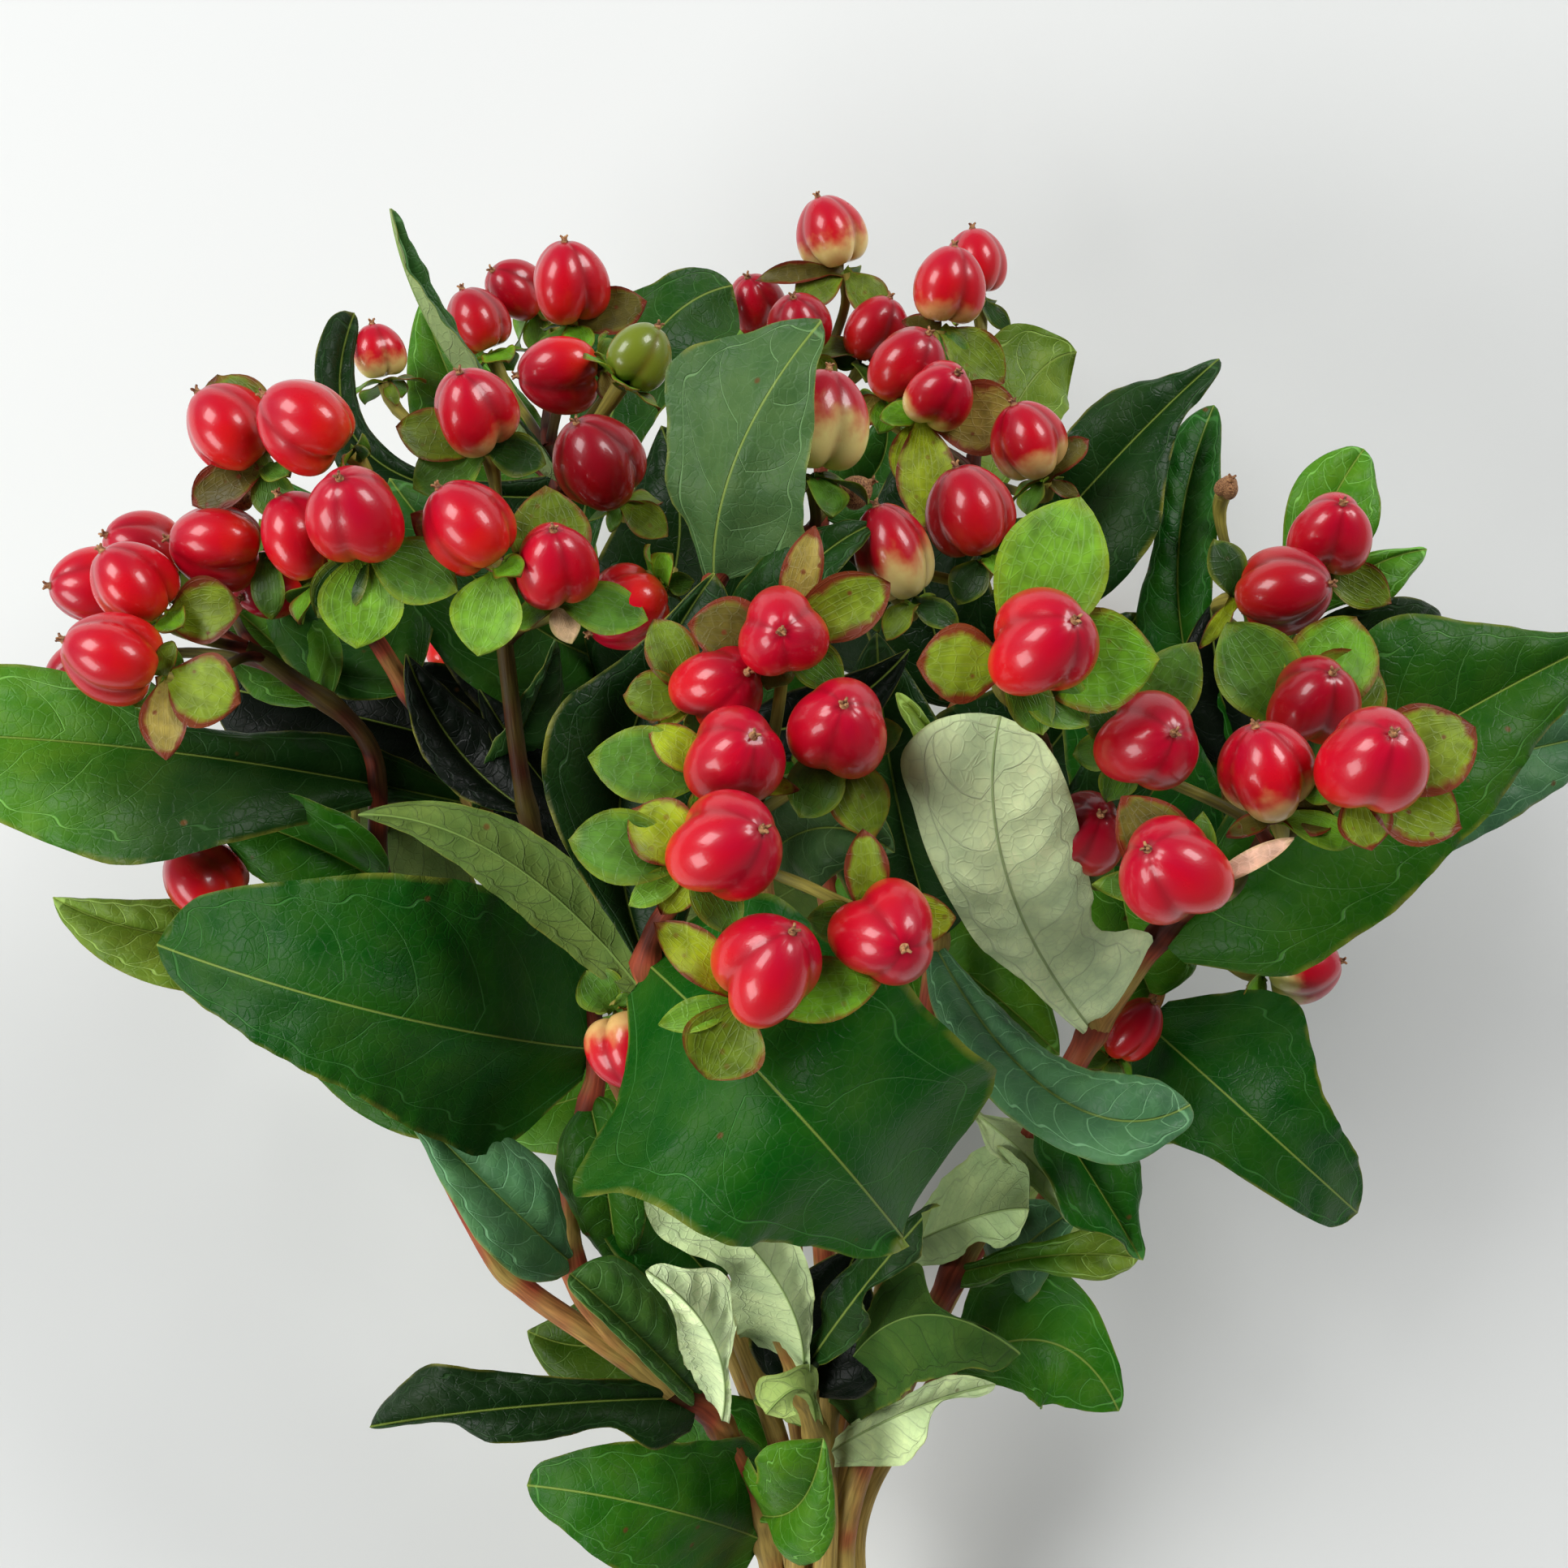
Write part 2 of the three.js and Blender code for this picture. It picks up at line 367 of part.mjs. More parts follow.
        right: [2.4, 4.5, 4.7, 5.5, 6.5, 7, 6.7, 4.5, 1.7] },
      { base: [1545, 885, 87], via: [1680, 796, 100], tip: [1776, 766, 94], width: 17.6, roll: [20, 20],
        fold: [12, 10] },
      { base: [1566, 800, 93], via: [1622, 655, 99], tip: [1680, 554, 98], width: 13, roll: [0, 0],
        fold: [10, 10], left: [1.3, 1.2, 2.4, 3.9, 5.9, 6.9, 6.3, 4, 1.4],
        right: [1.3, 2.3, 4.8, 7.2, 8.6, 8.8, 7.1, 4.2, 1.6] },
      { base: [1562, 806, 92], via: [1660, 716, 101], tip: [1757, 677, 99], width: 9, roll: [0, 0],
        fold: [10, 10], left: [1.3, 2.5, 3.5, 3.7, 3.6, 2.6, 1.8, 0.8, 0.6],
        right: [1.3, 0.6, 1.3, 2.5, 4.1, 6.4, 5.2, 3.4, 1.3] },
      { base: [1170, 1690, 55], via: [1290, 1653, 76], tip: [1378, 1738, 74], width: 30, roll: [10, 4],
        fold: [-10, -8], left: [1.3, 5.8, 12.4, 13.6, 12.9, 9.6, 6, 3.7, 1.2],
        right: [1.4, 6.5, 10.1, 11.8, 11.9, 11.6, 10.8, 8.3, 4.1] },
      { base: [1235, 1575, 60], via: [1268, 1532, 74], tip: [1330, 1488, 80], width: 17.6,
        roll: [-20, -20], fold: [10, 10] },
      { base: [1470, 1090, 75], via: [1390, 950, 92], tip: [1330, 800, 98], width: 26, hidden: true,
        roll: [10, 20], fold: [10, 10] },
      { base: [1425, 1230, 69], via: [1390, 1140, 84], tip: [1376, 1030, 88], width: 24, hidden: true,
        roll: [0, 0], fold: [10, 10] },
      { base: [1528, 935, 83], via: [1503, 850, 87], tip: [1492, 745, 88], width: 18, roll: [0, 0],
        fold: [10, 10] },
    ],
    heads: [
      [
        { at: [1639, 657, 112], tip: [1653, 624], turn: 20, pale: 0.25, size: 0.98,
          sepals: { spread: 80, turn: 34, length: 13.5 } },
        { at: [1581, 728, 118], tip: [1633, 720], turn: 35, size: 1.06,
          sepals: { spread: 110, turn: 0 } },
        { at: [1512, 600, 94], tip: [1516, 592], turn: 0, size: 0.3, kind: 'withered' },
      ],
    ],
  },
  underLeft: {
    seat: ['ring', 210],
    trunk: [[964, 1850, 43], [850, 1560, 46], [640, 1280, 52], [430, 1125, 60]],
    leaves: [
      { base: [950, 1830, 43], via: [880, 1790, 47], tip: [790, 1770, 42], width: 24, hidden: true,
        roll: [0, 0], fold: [10, 10] },
      { base: [850, 1560, 46], via: [765, 1650, 60], tip: [650, 1640, 60], width: 28, roll: [0, 0],
        fold: [10, 10] },
      { base: [640, 1280, 52], via: [520, 1320, 62], tip: [330, 1240, 52], width: 26, roll: [0, 0],
        fold: [10, 10] },
      { base: [560, 1220, 56], via: [480, 1080, 42], tip: [330, 960, 28], width: 26, roll: [170, 190],
        fold: [-10, -10] },
      { base: [700, 1360, 50], via: [600, 1300, 34], tip: [450, 1240, 20], width: 26, roll: [180, 200],
        fold: [-10, -10] },
      { base: [440, 1130, 59], via: [236, 1154, 84], tip: [66, 1106, 84], width: 18, roll: [10, 0],
        fold: [16, 12], lean: -0.2 },
    ],
    heads: [
      [
        { at: [250, 1083, 99], tip: [213, 1044], turn: 20, size: 1.0, sepals: { spread: 130, turn: 0 } },
        { at: [376, 950, 44], tip: [330, 930], turn: 10, under: true, hidden: true, size: 1.0 },
        { at: [470, 900, 22], tip: [450, 880], turn: 20, under: true, hidden: true, size: 1.0 },
        { at: [560, 800, 5.2], tip: [560, 760], turn: 0, under: true, hidden: true, size: 1.0,
          sepals: { spread: 80, turn: 0 } },
      ],
    ],
  },
  underCentre: {
    seat: ['ring', 250],
    trunk: [[996, 1850, 39], [975, 1500, 34], [940, 1200, 32], [930, 960, 30]],
    leaves: [
      { base: [975, 1500, 34], via: [860, 1400, 20], tip: [740, 1300, 14], width: 26, roll: [180, 190],
        fold: [-10, -10] },
      { base: [965, 1410, 34], via: [1070, 1370, 20], tip: [1180, 1290, 14], width: 26, roll: [180, 170],
        fold: [-10, -10] },
      { base: [940, 1200, 32], via: [850, 1080, 16], tip: [760, 960, 10], width: 28, roll: [180, 180],
        fold: [-10, -10] },
      { base: [935, 1120, 31], via: [1040, 1050, 14], tip: [1120, 960, 8], width: 28, roll: [180, 180],
        fold: [-10, -10] },
      { base: [930, 1000, 30], via: [930, 800, 40], tip: [880, 640, 44], width: 24, hidden: true,
        roll: [0, 0], fold: [10, 10] },
    ],
    heads: [
      [
        { at: [860, 800, 14], tip: [850, 770], turn: 0, under: true, hidden: true, size: 1.0 },
        { at: [960, 760, 10], tip: [965, 720], turn: 10, under: true, hidden: true, size: 1.05 },
      ],
    ],
  },
  underRight: {
    seat: ['ring', 330],
    trunk: [[1056, 1850, 43], [1200, 1540, 44], [1340, 1310, 50], [1450, 1150, 56]],
    leaves: [
      { base: [1210, 1540, 44], via: [1280, 1460, 32], tip: [1360, 1360, 20], width: 26,
        roll: [180, 180], fold: [-10, -10] },
      { base: [1340, 1310, 50], via: [1450, 1330, 40], tip: [1560, 1320, 28], width: 26,
        roll: [180, 180], fold: [-10, -10] },
      { base: [1372, 1262, 51], via: [1310, 1110, 40], tip: [1290, 950, 28], width: 26, roll: [180, 170],
        fold: [-10, -10] },
      { base: [1450, 1150, 56], via: [1600, 1080, 52], tip: [1760, 960, 44], width: 27, roll: [180, 180],
        fold: [-10, -10] },
    ],
    heads: [
      [
        { at: [1604, 1192, 72], tip: [1652, 1184], turn: 20, size: 1.0 },
        { at: [1440, 880, 20], tip: [1460, 850], turn: 20, under: true, hidden: true, size: 1.0 },
        { at: [1330, 800, 5.2], tip: [1335, 760], turn: 0, under: true, hidden: true, size: 1.0,
          sepals: { spread: 80, turn: 0 } },
      ],
    ],
  },
};

const colours = { stalk: '#8a6a45', leaf: '#2c5f2b', band: '#b08d57' };

// ---- small helpers ----

const radians = THREE.MathUtils.degToRad;
const up = new THREE.Vector3(0, 0, 1);
const eye = new THREE.Vector3(0, 0, plan.eye);

function place([across, down, height]) {
  const unit = (plan.halfWidth * (plan.eye - height)) / plan.middle;
  return new THREE.Vector3((across - plan.middle) * unit, (plan.middle - down) * unit, height);
}

function towardsEye(point) {
  return eye.clone().sub(point).normalize();
}

// A repeatable number from 0 to 1 for a place, so that no two pieces are alike.
function chance(point, salt) {
  const mix = point.x * 12.9898 + point.y * 78.233 + point.z * 37.719 + salt * 4.581;
  const draw = Math.sin(mix) * 43758.5453;
  return draw - Math.floor(draw);
}

// The value at a share of the way along a list of evenly spaced values.
function blend(values, share) {
  const place = share * (values.length - 1);
  const i = Math.min(Math.floor(place), values.length - 2);
  return THREE.MathUtils.lerp(values[i], values[i + 1], place - i);
}

function turned(vector, axis, degrees) {
  return vector.clone().applyAxisAngle(axis, radians(degrees));
}

// Points and faces gathered into one closed surface.
class Shell {
  points = [];

  faces = [];

  ring(points) {
    return points.map((point) => this.points.push(point) - 1);
  }

  // How far a ring's point lies from the middle of its ring.
  spoke(ring, k) {
    const middle = new THREE.Vector3();
    for (const index of ring) middle.addScaledVector(this.points[index], 1 / ring.length);
    return this.points[ring[k]].clone().sub(middle);
  }

  // The wall between two rings that both run round the same axis, whatever their counts.
  join(lower, upper) {
    const start = this.spoke(lower, 0);
    const match = upper.map((_, k) => this.spoke(upper, k).normalize().dot(start));
    const first = match.indexOf(Math.max(...match));
    let i = 0;
    let j = 0;
    while (i < lower.length || j < upper.length) {
      const low = lower[i % lower.length];
      const high = upper[(first + j) % upper.length];
      if ((i + 1) / lower.length <= (j + 1) / upper.length) {
        i += 1;
        this.faces.push([low, lower[i % lower.length], high]);
      } else {
        j += 1;
        this.faces.push([low, upper[(first + j) % upper.length], high]);
      }
    }
  }

  // A point closes the ring, at its upper or its lower end.
  close(ring, point, isUpper) {
    const [peak] = this.ring([point]);
    ring.forEach((index, k) => {
      const next = ring[(k + 1) % ring.length];
      this.faces.push(isUpper ? [peak, index, next] : [peak, next, index]);
    });
  }

  // Two points either side of a thin sheet. Their faces and walls follow.
  pair(at, face, thick) {
    const [upper] = this.ring([thick / 2, -thick / 2].map((off) => at.clone().addScaledVector(face, off)));
    return upper;
  }

  sheet(i, j, k) {
    this.faces.push([i, j, k], [i + 1, k + 1, j + 1]);
  }

  wall(i, j) {
    this.faces.push([i + 1, j + 1, j], [i + 1, j, i]);
  }

  solid() {
    return new wasm.Manifold(new wasm.Mesh({
      numProp: 3,
      vertProperties: new Float32Array(this.points.flatMap((p) => [p.x, p.y, p.z])),
      triVerts: new Uint32Array(this.faces.flat()),
    }));
  }
}

// Points round an axis, the first at the given angle.
function circle(centre, axis, count, reach, angle = 0) {
  const [a, b] = squareTo(axis);
  return Array.from({ length: count }, (_, k) => {
    const degrees = angle + (360 * k) / count;
    const radius = typeof reach === 'function' ? reach(k) : reach;
    return centre.clone().addScaledVector(a, radius * Math.cos(radians(degrees)))
      .addScaledVector(b, radius * Math.sin(radians(degrees)));
  });
}

// Two directions square to an axis, so that a ring round it can be laid out.
function squareTo(axis) {
  const helper = Math.abs(axis.z) < 0.8 ? up : new THREE.Vector3(0, 1, 0);
  const across = new THREE.Vector3().crossVectors(helper, axis).normalize();
  return [across, new THREE.Vector3().crossVectors(axis, across)];
}

// ---- the pieces of a stem ----

function bundlePlace([row, degrees]) {
  const radius = bundle[row];
  const a = radians(degrees);
  return [radius * Math.cos(a), radius * Math.sin(a)];
}

// The line of a stem from its cut foot, through the band, to its head.
function stemLine(stem) {
  const [across, lift] = bundlePlace(stem.seat);
  const slope = Math.tan(radians(bundle.slope));
  const seat = (along, spread) => new THREE.Vector3(
    bundle.across + across * spread,
    bundle.along + along,
    bundle.height + lift * spread + along * slope,
  );
  const end = seat(-foot.reach, foot.spread);
  end.z = foot.height + lift * foot.spread;
  return [end, seat(-foot.reach / 2, 1.1), seat(0, 1), ...stem.trunk.map(place)];
}

// Places along a smooth curve through the given points, with the heading at each.
// The first few spans, below the band, are straight enough to need none between.
function walk(points) {
  const curve = new THREE.CatmullRomCurve3(points, false, 'catmullrom', 0.5);
  const steps = 2 * (points.length - 1);
  const heading = (i) => curve.getTangent(i / steps);
  const places = [];
  for (let i = 0; i <= steps; i += 1) {
    const isBent = () => heading(i - 1).angleTo(heading(i + 1)) > radians(stalkSize.bend);
    if (i % 2 === 0 || isBent()) places.push({ point: curve.getPoint(i / steps), heading: heading(i) });
  }
  return places;
}

// A stalk from one thickness to another.
function stalkSolid(line, startRadius, endRadius, grow) {
  const shell = new Shell();
  const rings = line.map(({ point, heading }, i) => {
    const radius = THREE.MathUtils.lerp(startRadius, endRadius, i / (line.length - 1)) + grow;
    return shell.ring(circle(point, heading, stalkSize.sides, radius));
  });
  const first = line[0];
  const last = line[line.length - 1];
  shell.close(rings[0], first.point.clone().addScaledVector(first.heading, -grow), false);
  for (let i = 1; i < rings.length; i += 1) shell.join(rings[i - 1], rings[i]);
  const top = last.point.clone().addScaledVector(last.heading, grow + endRadius / 2);
  shell.close(rings[rings.length - 1], top, true);
  return shell.solid();
}

// Where a berry stands: its middle, its axis from base to tip, and its half sizes.
function berryFrame(berry) {
  const centre = place(berry.at);
  const half = (berrySize.length * berry.size) / 2;
  const ahead = place([...berry.tip, berry.at[2]]).sub(centre);
  const share = Math.min(0.97, ahead.length() / half);
  const depth = Math.sqrt(1 - share * share) * (berry.under ? -1 : 1);
  const axis = ahead.setLength(share || 1e-6).addScaledVector(towardsEye(centre), depth).normalize();
  return {
    centre,
    axis,
    half,
    radius: (berrySize.width * berry.size * (berry.slim ?? 1)) / 2,
    base: centre.clone().addScaledVector(axis, -half),
  };
}

// The five sepals on a ring of five points: thin, and broadest past the middle.
function addSepals(shell, berry, frame, neck, grow) {
  const { axis, base } = frame;
  const settings = { ...sepalSize, turn: 0, ...berry.sepals };
  const [a, b] = squareTo(axis);
  const thick = settings.thick + 2 * grow;
  neck.forEach((from, i) => {
    const to = neck[(i + 1) % 5];
    const degrees = settings.turn + 36 + 72 * i;
    const spread = settings.spread + 24 * (chance(base, i) - 0.5);
    const long = settings.length * (0.88 + 0.24 * chance(base, i + 7)) + grow;
    const out = a.clone().multiplyScalar(Math.cos(radians(degrees)))
      .addScaledVector(b, Math.sin(radians(degrees)));
    const side = new THREE.Vector3().crossVectors(axis, out);
    const lean = (turn) => out.clone().multiplyScalar(Math.sin(radians(turn)))
      .addScaledVector(axis, Math.cos(radians(turn)));
    const face = lean(spread - 90);
    const end = shell.pair(base.clone().addScaledVector(lean(spread), long), face, thick);
    if (berry.hidden) {
      shell.sheet(from, end, to);
      shell.wall(from, end);
      shell.wall(end, to);
      return;
    }
    const belly = base.clone().addScaledVector(lean(spread), long * 0.62);
    const left = shell.pair(belly.clone().addScaledVector(side, -long * settings.belly), face, thick);
    const right = shell.pair(belly.clone().addScaledVector(side, long * settings.belly), face, thick);
    shell.sheet(from, left, right);
    shell.sheet(left, end, right);
    shell.sheet(from, right, to);
    shell.wall(from, left);
    shell.wall(left, end);
    shell.wall(end, right);
    shell.wall(right, to);
  });
}

// A berry, its ring of sepals and its short stalk, from the stalk's foot to the berry's tip.
function berrySolid(berry, start, heading, grow) {
  const frame = berryFrame(berry);
  const { centre, axis, half, radius, base } = frame;
  const shell = new Shell();
  const chord = base.clone().sub(start);
  const lead = chord.clone().normalize().add(heading).normalize();
  const reach = chord.length() * 0.3;
  const path = new THREE.CubicBezierCurve3(
    start,
    start.clone().addScaledVector(lead, reach),
    base.clone().addScaledVector(axis, -1 - reach),
    base.clone().addScaledVector(axis, -1),
  );
  const steps = Math.ceil((lead.angleTo(chord) + chord.angleTo(axis)) / radians(65));
  let lower = null;
  for (let i = 0; i <= steps; i += 1) {
    const t = i / steps;
    const ring = shell.ring(circle(path.getPoint(t), path.getTangent(t), 3, stalkSize.twig + grow));
    if (lower) shell.join(lower, ring);
    else shell.close(ring, start.clone().addScaledVector(lead, -0.3 - grow), false);
    lower = ring;
  }
  if (berry.kind !== 'withered') {
    const root = sepalSize.root + grow;
    const neck = circle(base, axis, 5, root, berry.sepals?.turn ?? 0)
      .map((point) => shell.pair(point, axis, sepalSize.thick + 2 * grow));
    shell.join(lower, neck.map((index) => index + 1));
    addSepals(shell, berry, frame, neck, grow);
    lower = neck;
  }
  for (const [along, wide] of berry.hidden ? hiddenProfile : berryProfile) {
    const at = centre.clone().addScaledVector(axis, along * (half + grow));
    const lobe = (k) => radius * wide * (k % 2 ? 1 : 1 - berrySize.groove) + grow;
    const ring = shell.ring(circle(at, axis, 6, lobe, berry.turn));
    shell.join(lower, ring);
    lower = ring;
  }
  shell.close(lower, centre.clone().addScaledVector(axis, half + grow), true);
  return shell.solid();
}

// Half the width of a leaf at a share of its length, left (s = -1) or right (s = 1) of its midrib:
// ovate, with a broad foot and a blunt tip, unless the leaf has half widths of its own.
function leafHalf(leaf, share, s) {
  const own = s < 0 ? leaf.left : leaf.right;
  if (own) return blend(own, share);
  const skew = Math.log(0.5) / Math.log(leaf.belly ?? leafSize.belly);
  return (leaf.width / 2) * Math.sin(Math.PI * share ** skew) ** leafSize.bluntness;
}

// Broad leaves have more widths along them; those deep inside the bunch have only two.
function leafStations(leaf) {
  if (leaf.hidden) return [0, 0.45];
  if (leaf.width < 18) return [0, 0.28, 0.72];
  return leaf.width < 33 ? [0, 0.16, 0.45, 0.8] : [0, 0.12, 0.34, 0.62, 0.86];
}

// A leaf from its root on the stalk: a bent, folded sheet of four widths and a tip.
function leafSolid(leaf, root, grow) {
  const via = place(leaf.via);
  const tip = place(leaf.tip);
  const bend = via.clone().multiplyScalar(2).addScaledVector(root, -0.5).addScaledVector(tip, -0.5);
  const curve = new THREE.QuadraticBezierCurve3(root, bend, tip);
  const shell = new Shell();
  const thick = leafSize.thick + 2 * grow;
  const faceAt = (t) => {
    const sight = towardsEye(curve.getPoint(t));
    const along = curve.getTangent(t);
    const flat = sight.addScaledVector(along, -sight.dot(along)).normalize();
    return turned(flat, along, blend(leaf.roll, t));
  };
  let last = null;
  for (const t of leafStations(leaf)) {
    const at = curve.getPoint(t);
    const face = faceAt(t);
    const side = new THREE.Vector3().crossVectors(curve.getTangent(t), face);
    const fold = radians(blend(leaf.fold, t) + leafSize.bend);
    const row = [-1, 0, 1].map((s) => {
      const half = Math.max(leafHalf(leaf, t, s), leafSize.root / 2) + grow;
      const reach = half * (1 + s * (leaf.lean ?? 0));
      const wave = s * (leaf.wave ?? 0) * Math.sin(leafSize.ripple * t + leaf.width);
      const lift = Math.abs(s) * reach * Math.sin(fold) + wave;
      const edge = at.clone().addScaledVector(side, s * reach * Math.cos(fold)).addScaledVector(face, lift);
      return shell.pair(edge, face.clone().addScaledVector(side, -s * Math.tan(fold)).normalize(), thick);
    });
    if (last) {
      for (const c of [0, 1]) {
        shell.sheet(last[c], last[c + 1], row[c + 1]);
        shell.sheet(last[c], row[c + 1], row[c]);
      }
      shell.wall(last[2], row[2]);
      shell.wall(row[0], last[0]);
    } else {
      shell.wall(row[0], row[1]);
      shell.wall(row[1], row[2]);
    }
    last = row;
  }
  const end = shell.pair(tip.addScaledVector(curve.getTangent(1), grow), faceAt(1), thick);
  shell.sheet(last[0], last[1], end);
  shell.sheet(last[1], last[2], end);
  shell.wall(last[2], end);
  shell.wall(end, last[0]);
  return shell.solid();
}

// The point of a stem's stalks nearest to a wished place, and the heading there.
function nearestOn(lines, wish) {
  let best = { gap: Infinity };
  for (const line of lines) {
    for (let i = 1; i < line.length; i += 1) {
      const point = new THREE.Line3(line[i - 1].point, line[i].point)
        .closestPointToPoint(wish, true, new THREE.Vector3());
      const gap = point.distanceTo(wish);
      if (gap < best.gap) best = { gap, point, heading: line[i].heading };
    }
  }
  return best;
}

// Berry stalks leave the top of their stem one after another, each a little below the last.
function backFromTop(line, order) {
  let i = line.length - 1;
  let left = order * stalkSize.step;
  while (i > 1 && left > line[i].point.distanceTo(line[i - 1].point)) {
    left -= line[i].point.distanceTo(line[i - 1].point);
    i -= 1;
  }
  const share = left / line[i].point.distanceTo(line[i - 1].point);
  return { point: line[i].point.clone().lerp(line[i - 1].point, share), heading: line[i].heading };
}

// Every piece of a stem, each as a maker that can also give the piece a little grown.
function stemPieces(stem) {
  const points = stemLine(stem);
  const trunk = walk(points);
  const forks = (stem.forks ?? []).map((fork) => walk([points[points.length - 1], ...fork.map(place)]));
  const lines = [trunk, ...forks];
  const tops = forks.length ? forks : [trunk];
  const { foot: footRadius, fork: forkRadius, head: headRadius } = stalkSize;
  const pieces = [
    (grow) => stalkSolid(trunk, footRadius, forks.length ? forkRadius : headRadius, grow),
    ...forks.map((fork) => (grow) => stalkSolid(fork, forkRadius, headRadius, grow)),
  ];
  for (const leaf of stem.leaves) {
    const root = nearestOn(lines, place(leaf.base)).point;
    pieces.push((grow) => leafSolid(leaf, root, grow));
  }
  stem.heads.forEach((head, i) => {
    head.forEach((berry, k) => {
      const start = berry.from ? nearestOn(lines, place(berry.from)) : backFromTop(tops[i], k);
      pieces.push((grow) => berrySolid(berry, start.point, start.heading, grow));
    });
  });
  return pieces;
}

// ---- the bunch ----

// The rubber band: a ring of three turns side by side round the bundle.
function bandGeometry() {
  const half = bandSize.width / 2;
  const turn = bandSize.width / bandSize.turns;
  const profile = [[bandSize.inner, -half]];
  for (let i = 0; i < bandSize.turns; i += 1) {
    const low = -half + i * turn;
    profile.push([bandSize.outer - bandSize.groove, low], [bandSize.outer, low + turn / 2]);
  }
  profile.push([bandSize.outer - bandSize.groove, half], [bandSize.inner, half], [bandSize.inner, -half]);
  return new THREE.LatheGeometry(profile.map(([x, y]) => new THREE.Vector2(x, y)), bandSize.sides);
}

function geometryOf(manifold) {
  const { vertProperties, triVerts } = manifold.getMesh();
  const geometry = new THREE.BufferGeometry();
  geometry.setAttribute('position', new THREE.BufferAttribute(vertProperties, 3));
  geometry.setIndex(new THREE.BufferAttribute(triVerts, 1));
  return geometry;
}

// A thick plate under the table top, which presses what touches the table flat.
const table = new wasm.Manifold(new wasm.Mesh({
  numProp: 3,
  vertProperties: new Float32Array([-400, -500, -60, 400, -500, -60, 400, 400, -60, -400, 400, -60,
    -400, -500, 0, 400, -500, 0, 400, 400, 0, -400, 400, 0]),
  triVerts: new Uint32Array([0, 2, 1, 0, 3, 2, 4, 5, 6, 4, 6, 7, 0, 1, 5, 0, 5, 4, 1, 2, 6, 1, 6, 5,
    2, 3, 7, 2, 7, 6, 3, 0, 4, 3, 4, 7]),
}));

function largest(manifold) {
  const bodies = manifold.decompose();
  return bodies.reduce((best, body) => (body.volume() > best.volume() ? body : best));
}

const order = Object.keys(stems);
const grown = [];
const made = {};
for (const name of order) {
  const pieces = stemPieces(stems[name]);
  let whole = wasm.Manifold.union(pieces.map((piece) => piece(0))).subtract(table);
  for (const other of grown) whole = whole.subtract(other);
  made[name] = largest(whole.simplify(0.02));
  grown.push(wasm.Manifold.union(pieces.map((piece) => piece(clearance))));
}

const group = new THREE.Group();
group.name = 'hypericum_bunch';
for (const name of order) {
  const material = new THREE.MeshStandardMaterial({ color: colours.leaf, roughness: 0.5, metalness: 0 });
  const mesh = new THREE.Mesh(geometryOf(made[name]), material);
  mesh.name = `stem_${name}`;
  group.add(mesh);
}

const band = new THREE.Mesh(
  bandGeometry(),
  new THREE.MeshStandardMaterial({ color: colours.band, roughness: 0.7, metalness: 0 }),
);
band.name = 'rubber_band';
band.position.set(bundle.across, bundle.along, bundle.height);
band.rotation.x = radians(bundle.slope);
group.add(band);

// The origin goes under the middle of the bunch.
const box = new THREE.Box3().setFromObject(group);
const middle = box.getCenter(new THREE.Vector3());
group.position.set(-middle.x, -middle.y, -box.min.z);

export default group;
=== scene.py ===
# A bunch of twelve cut hypericum stems with red berries, held by a rubber band and laid on a pale floor.
import math
from functools import partial

import bpy
import numpy as np
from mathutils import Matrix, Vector


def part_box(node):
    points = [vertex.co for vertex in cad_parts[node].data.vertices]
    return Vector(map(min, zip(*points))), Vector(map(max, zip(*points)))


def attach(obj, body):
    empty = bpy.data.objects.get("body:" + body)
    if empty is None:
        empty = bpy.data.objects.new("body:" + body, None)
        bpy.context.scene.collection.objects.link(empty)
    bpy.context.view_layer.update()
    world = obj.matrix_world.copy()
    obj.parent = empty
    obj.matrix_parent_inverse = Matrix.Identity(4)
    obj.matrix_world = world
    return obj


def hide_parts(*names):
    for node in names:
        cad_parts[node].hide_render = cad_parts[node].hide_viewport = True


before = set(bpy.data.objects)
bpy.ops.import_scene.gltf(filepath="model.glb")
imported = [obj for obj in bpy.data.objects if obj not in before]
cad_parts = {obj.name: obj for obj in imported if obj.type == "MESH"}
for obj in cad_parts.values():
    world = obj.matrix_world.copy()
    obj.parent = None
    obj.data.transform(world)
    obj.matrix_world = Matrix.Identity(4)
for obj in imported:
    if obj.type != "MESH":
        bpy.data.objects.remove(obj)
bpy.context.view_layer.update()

print("frame loaded:", len(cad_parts), "nodes")

# Everything below is worked out in millimetres on the plan that the stems are drawn on: an eye above
# the middle, plan units across and down from the upper left corner, then the height over the floor.
plan = dict(middle=966, halfWidth=0.45, eye=390)
bundle = dict(across=6.8, along=-172, height=46, ring=8.15, core=2.95, slope=12)
foot = dict(reach=158, height=11.55, spread=1.22, midSpread=1.1)

bandLow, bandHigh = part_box("rubber_band")
bandPlace = np.array([bundle["across"], bundle["along"], bundle["height"]])
shift = (np.array(bandLow) + np.array(bandHigh)) / 2 - bandPlace / 1000  # from the plan to the frame
eye = np.array([0.0, 0.0, plan["eye"]])


def place(spot):
    across, down, height = spot
    unit = plan["halfWidth"] * (plan["eye"] - height) / plan["middle"]
    return np.array([(across - plan["middle"]) * unit, (plan["middle"] - down) * unit, height])


def unitOf(vector):  # one vector, or each of a row of them, at length 1
    return vector / np.maximum(np.linalg.norm(vector, axis=-1, keepdims=True), 1e-9)


def turned(vector, axis, degrees):
    a = math.radians(degrees)
    return (vector * math.cos(a) + np.cross(axis, vector) * math.sin(a)
            + axis * np.dot(axis, vector) * (1 - math.cos(a)))


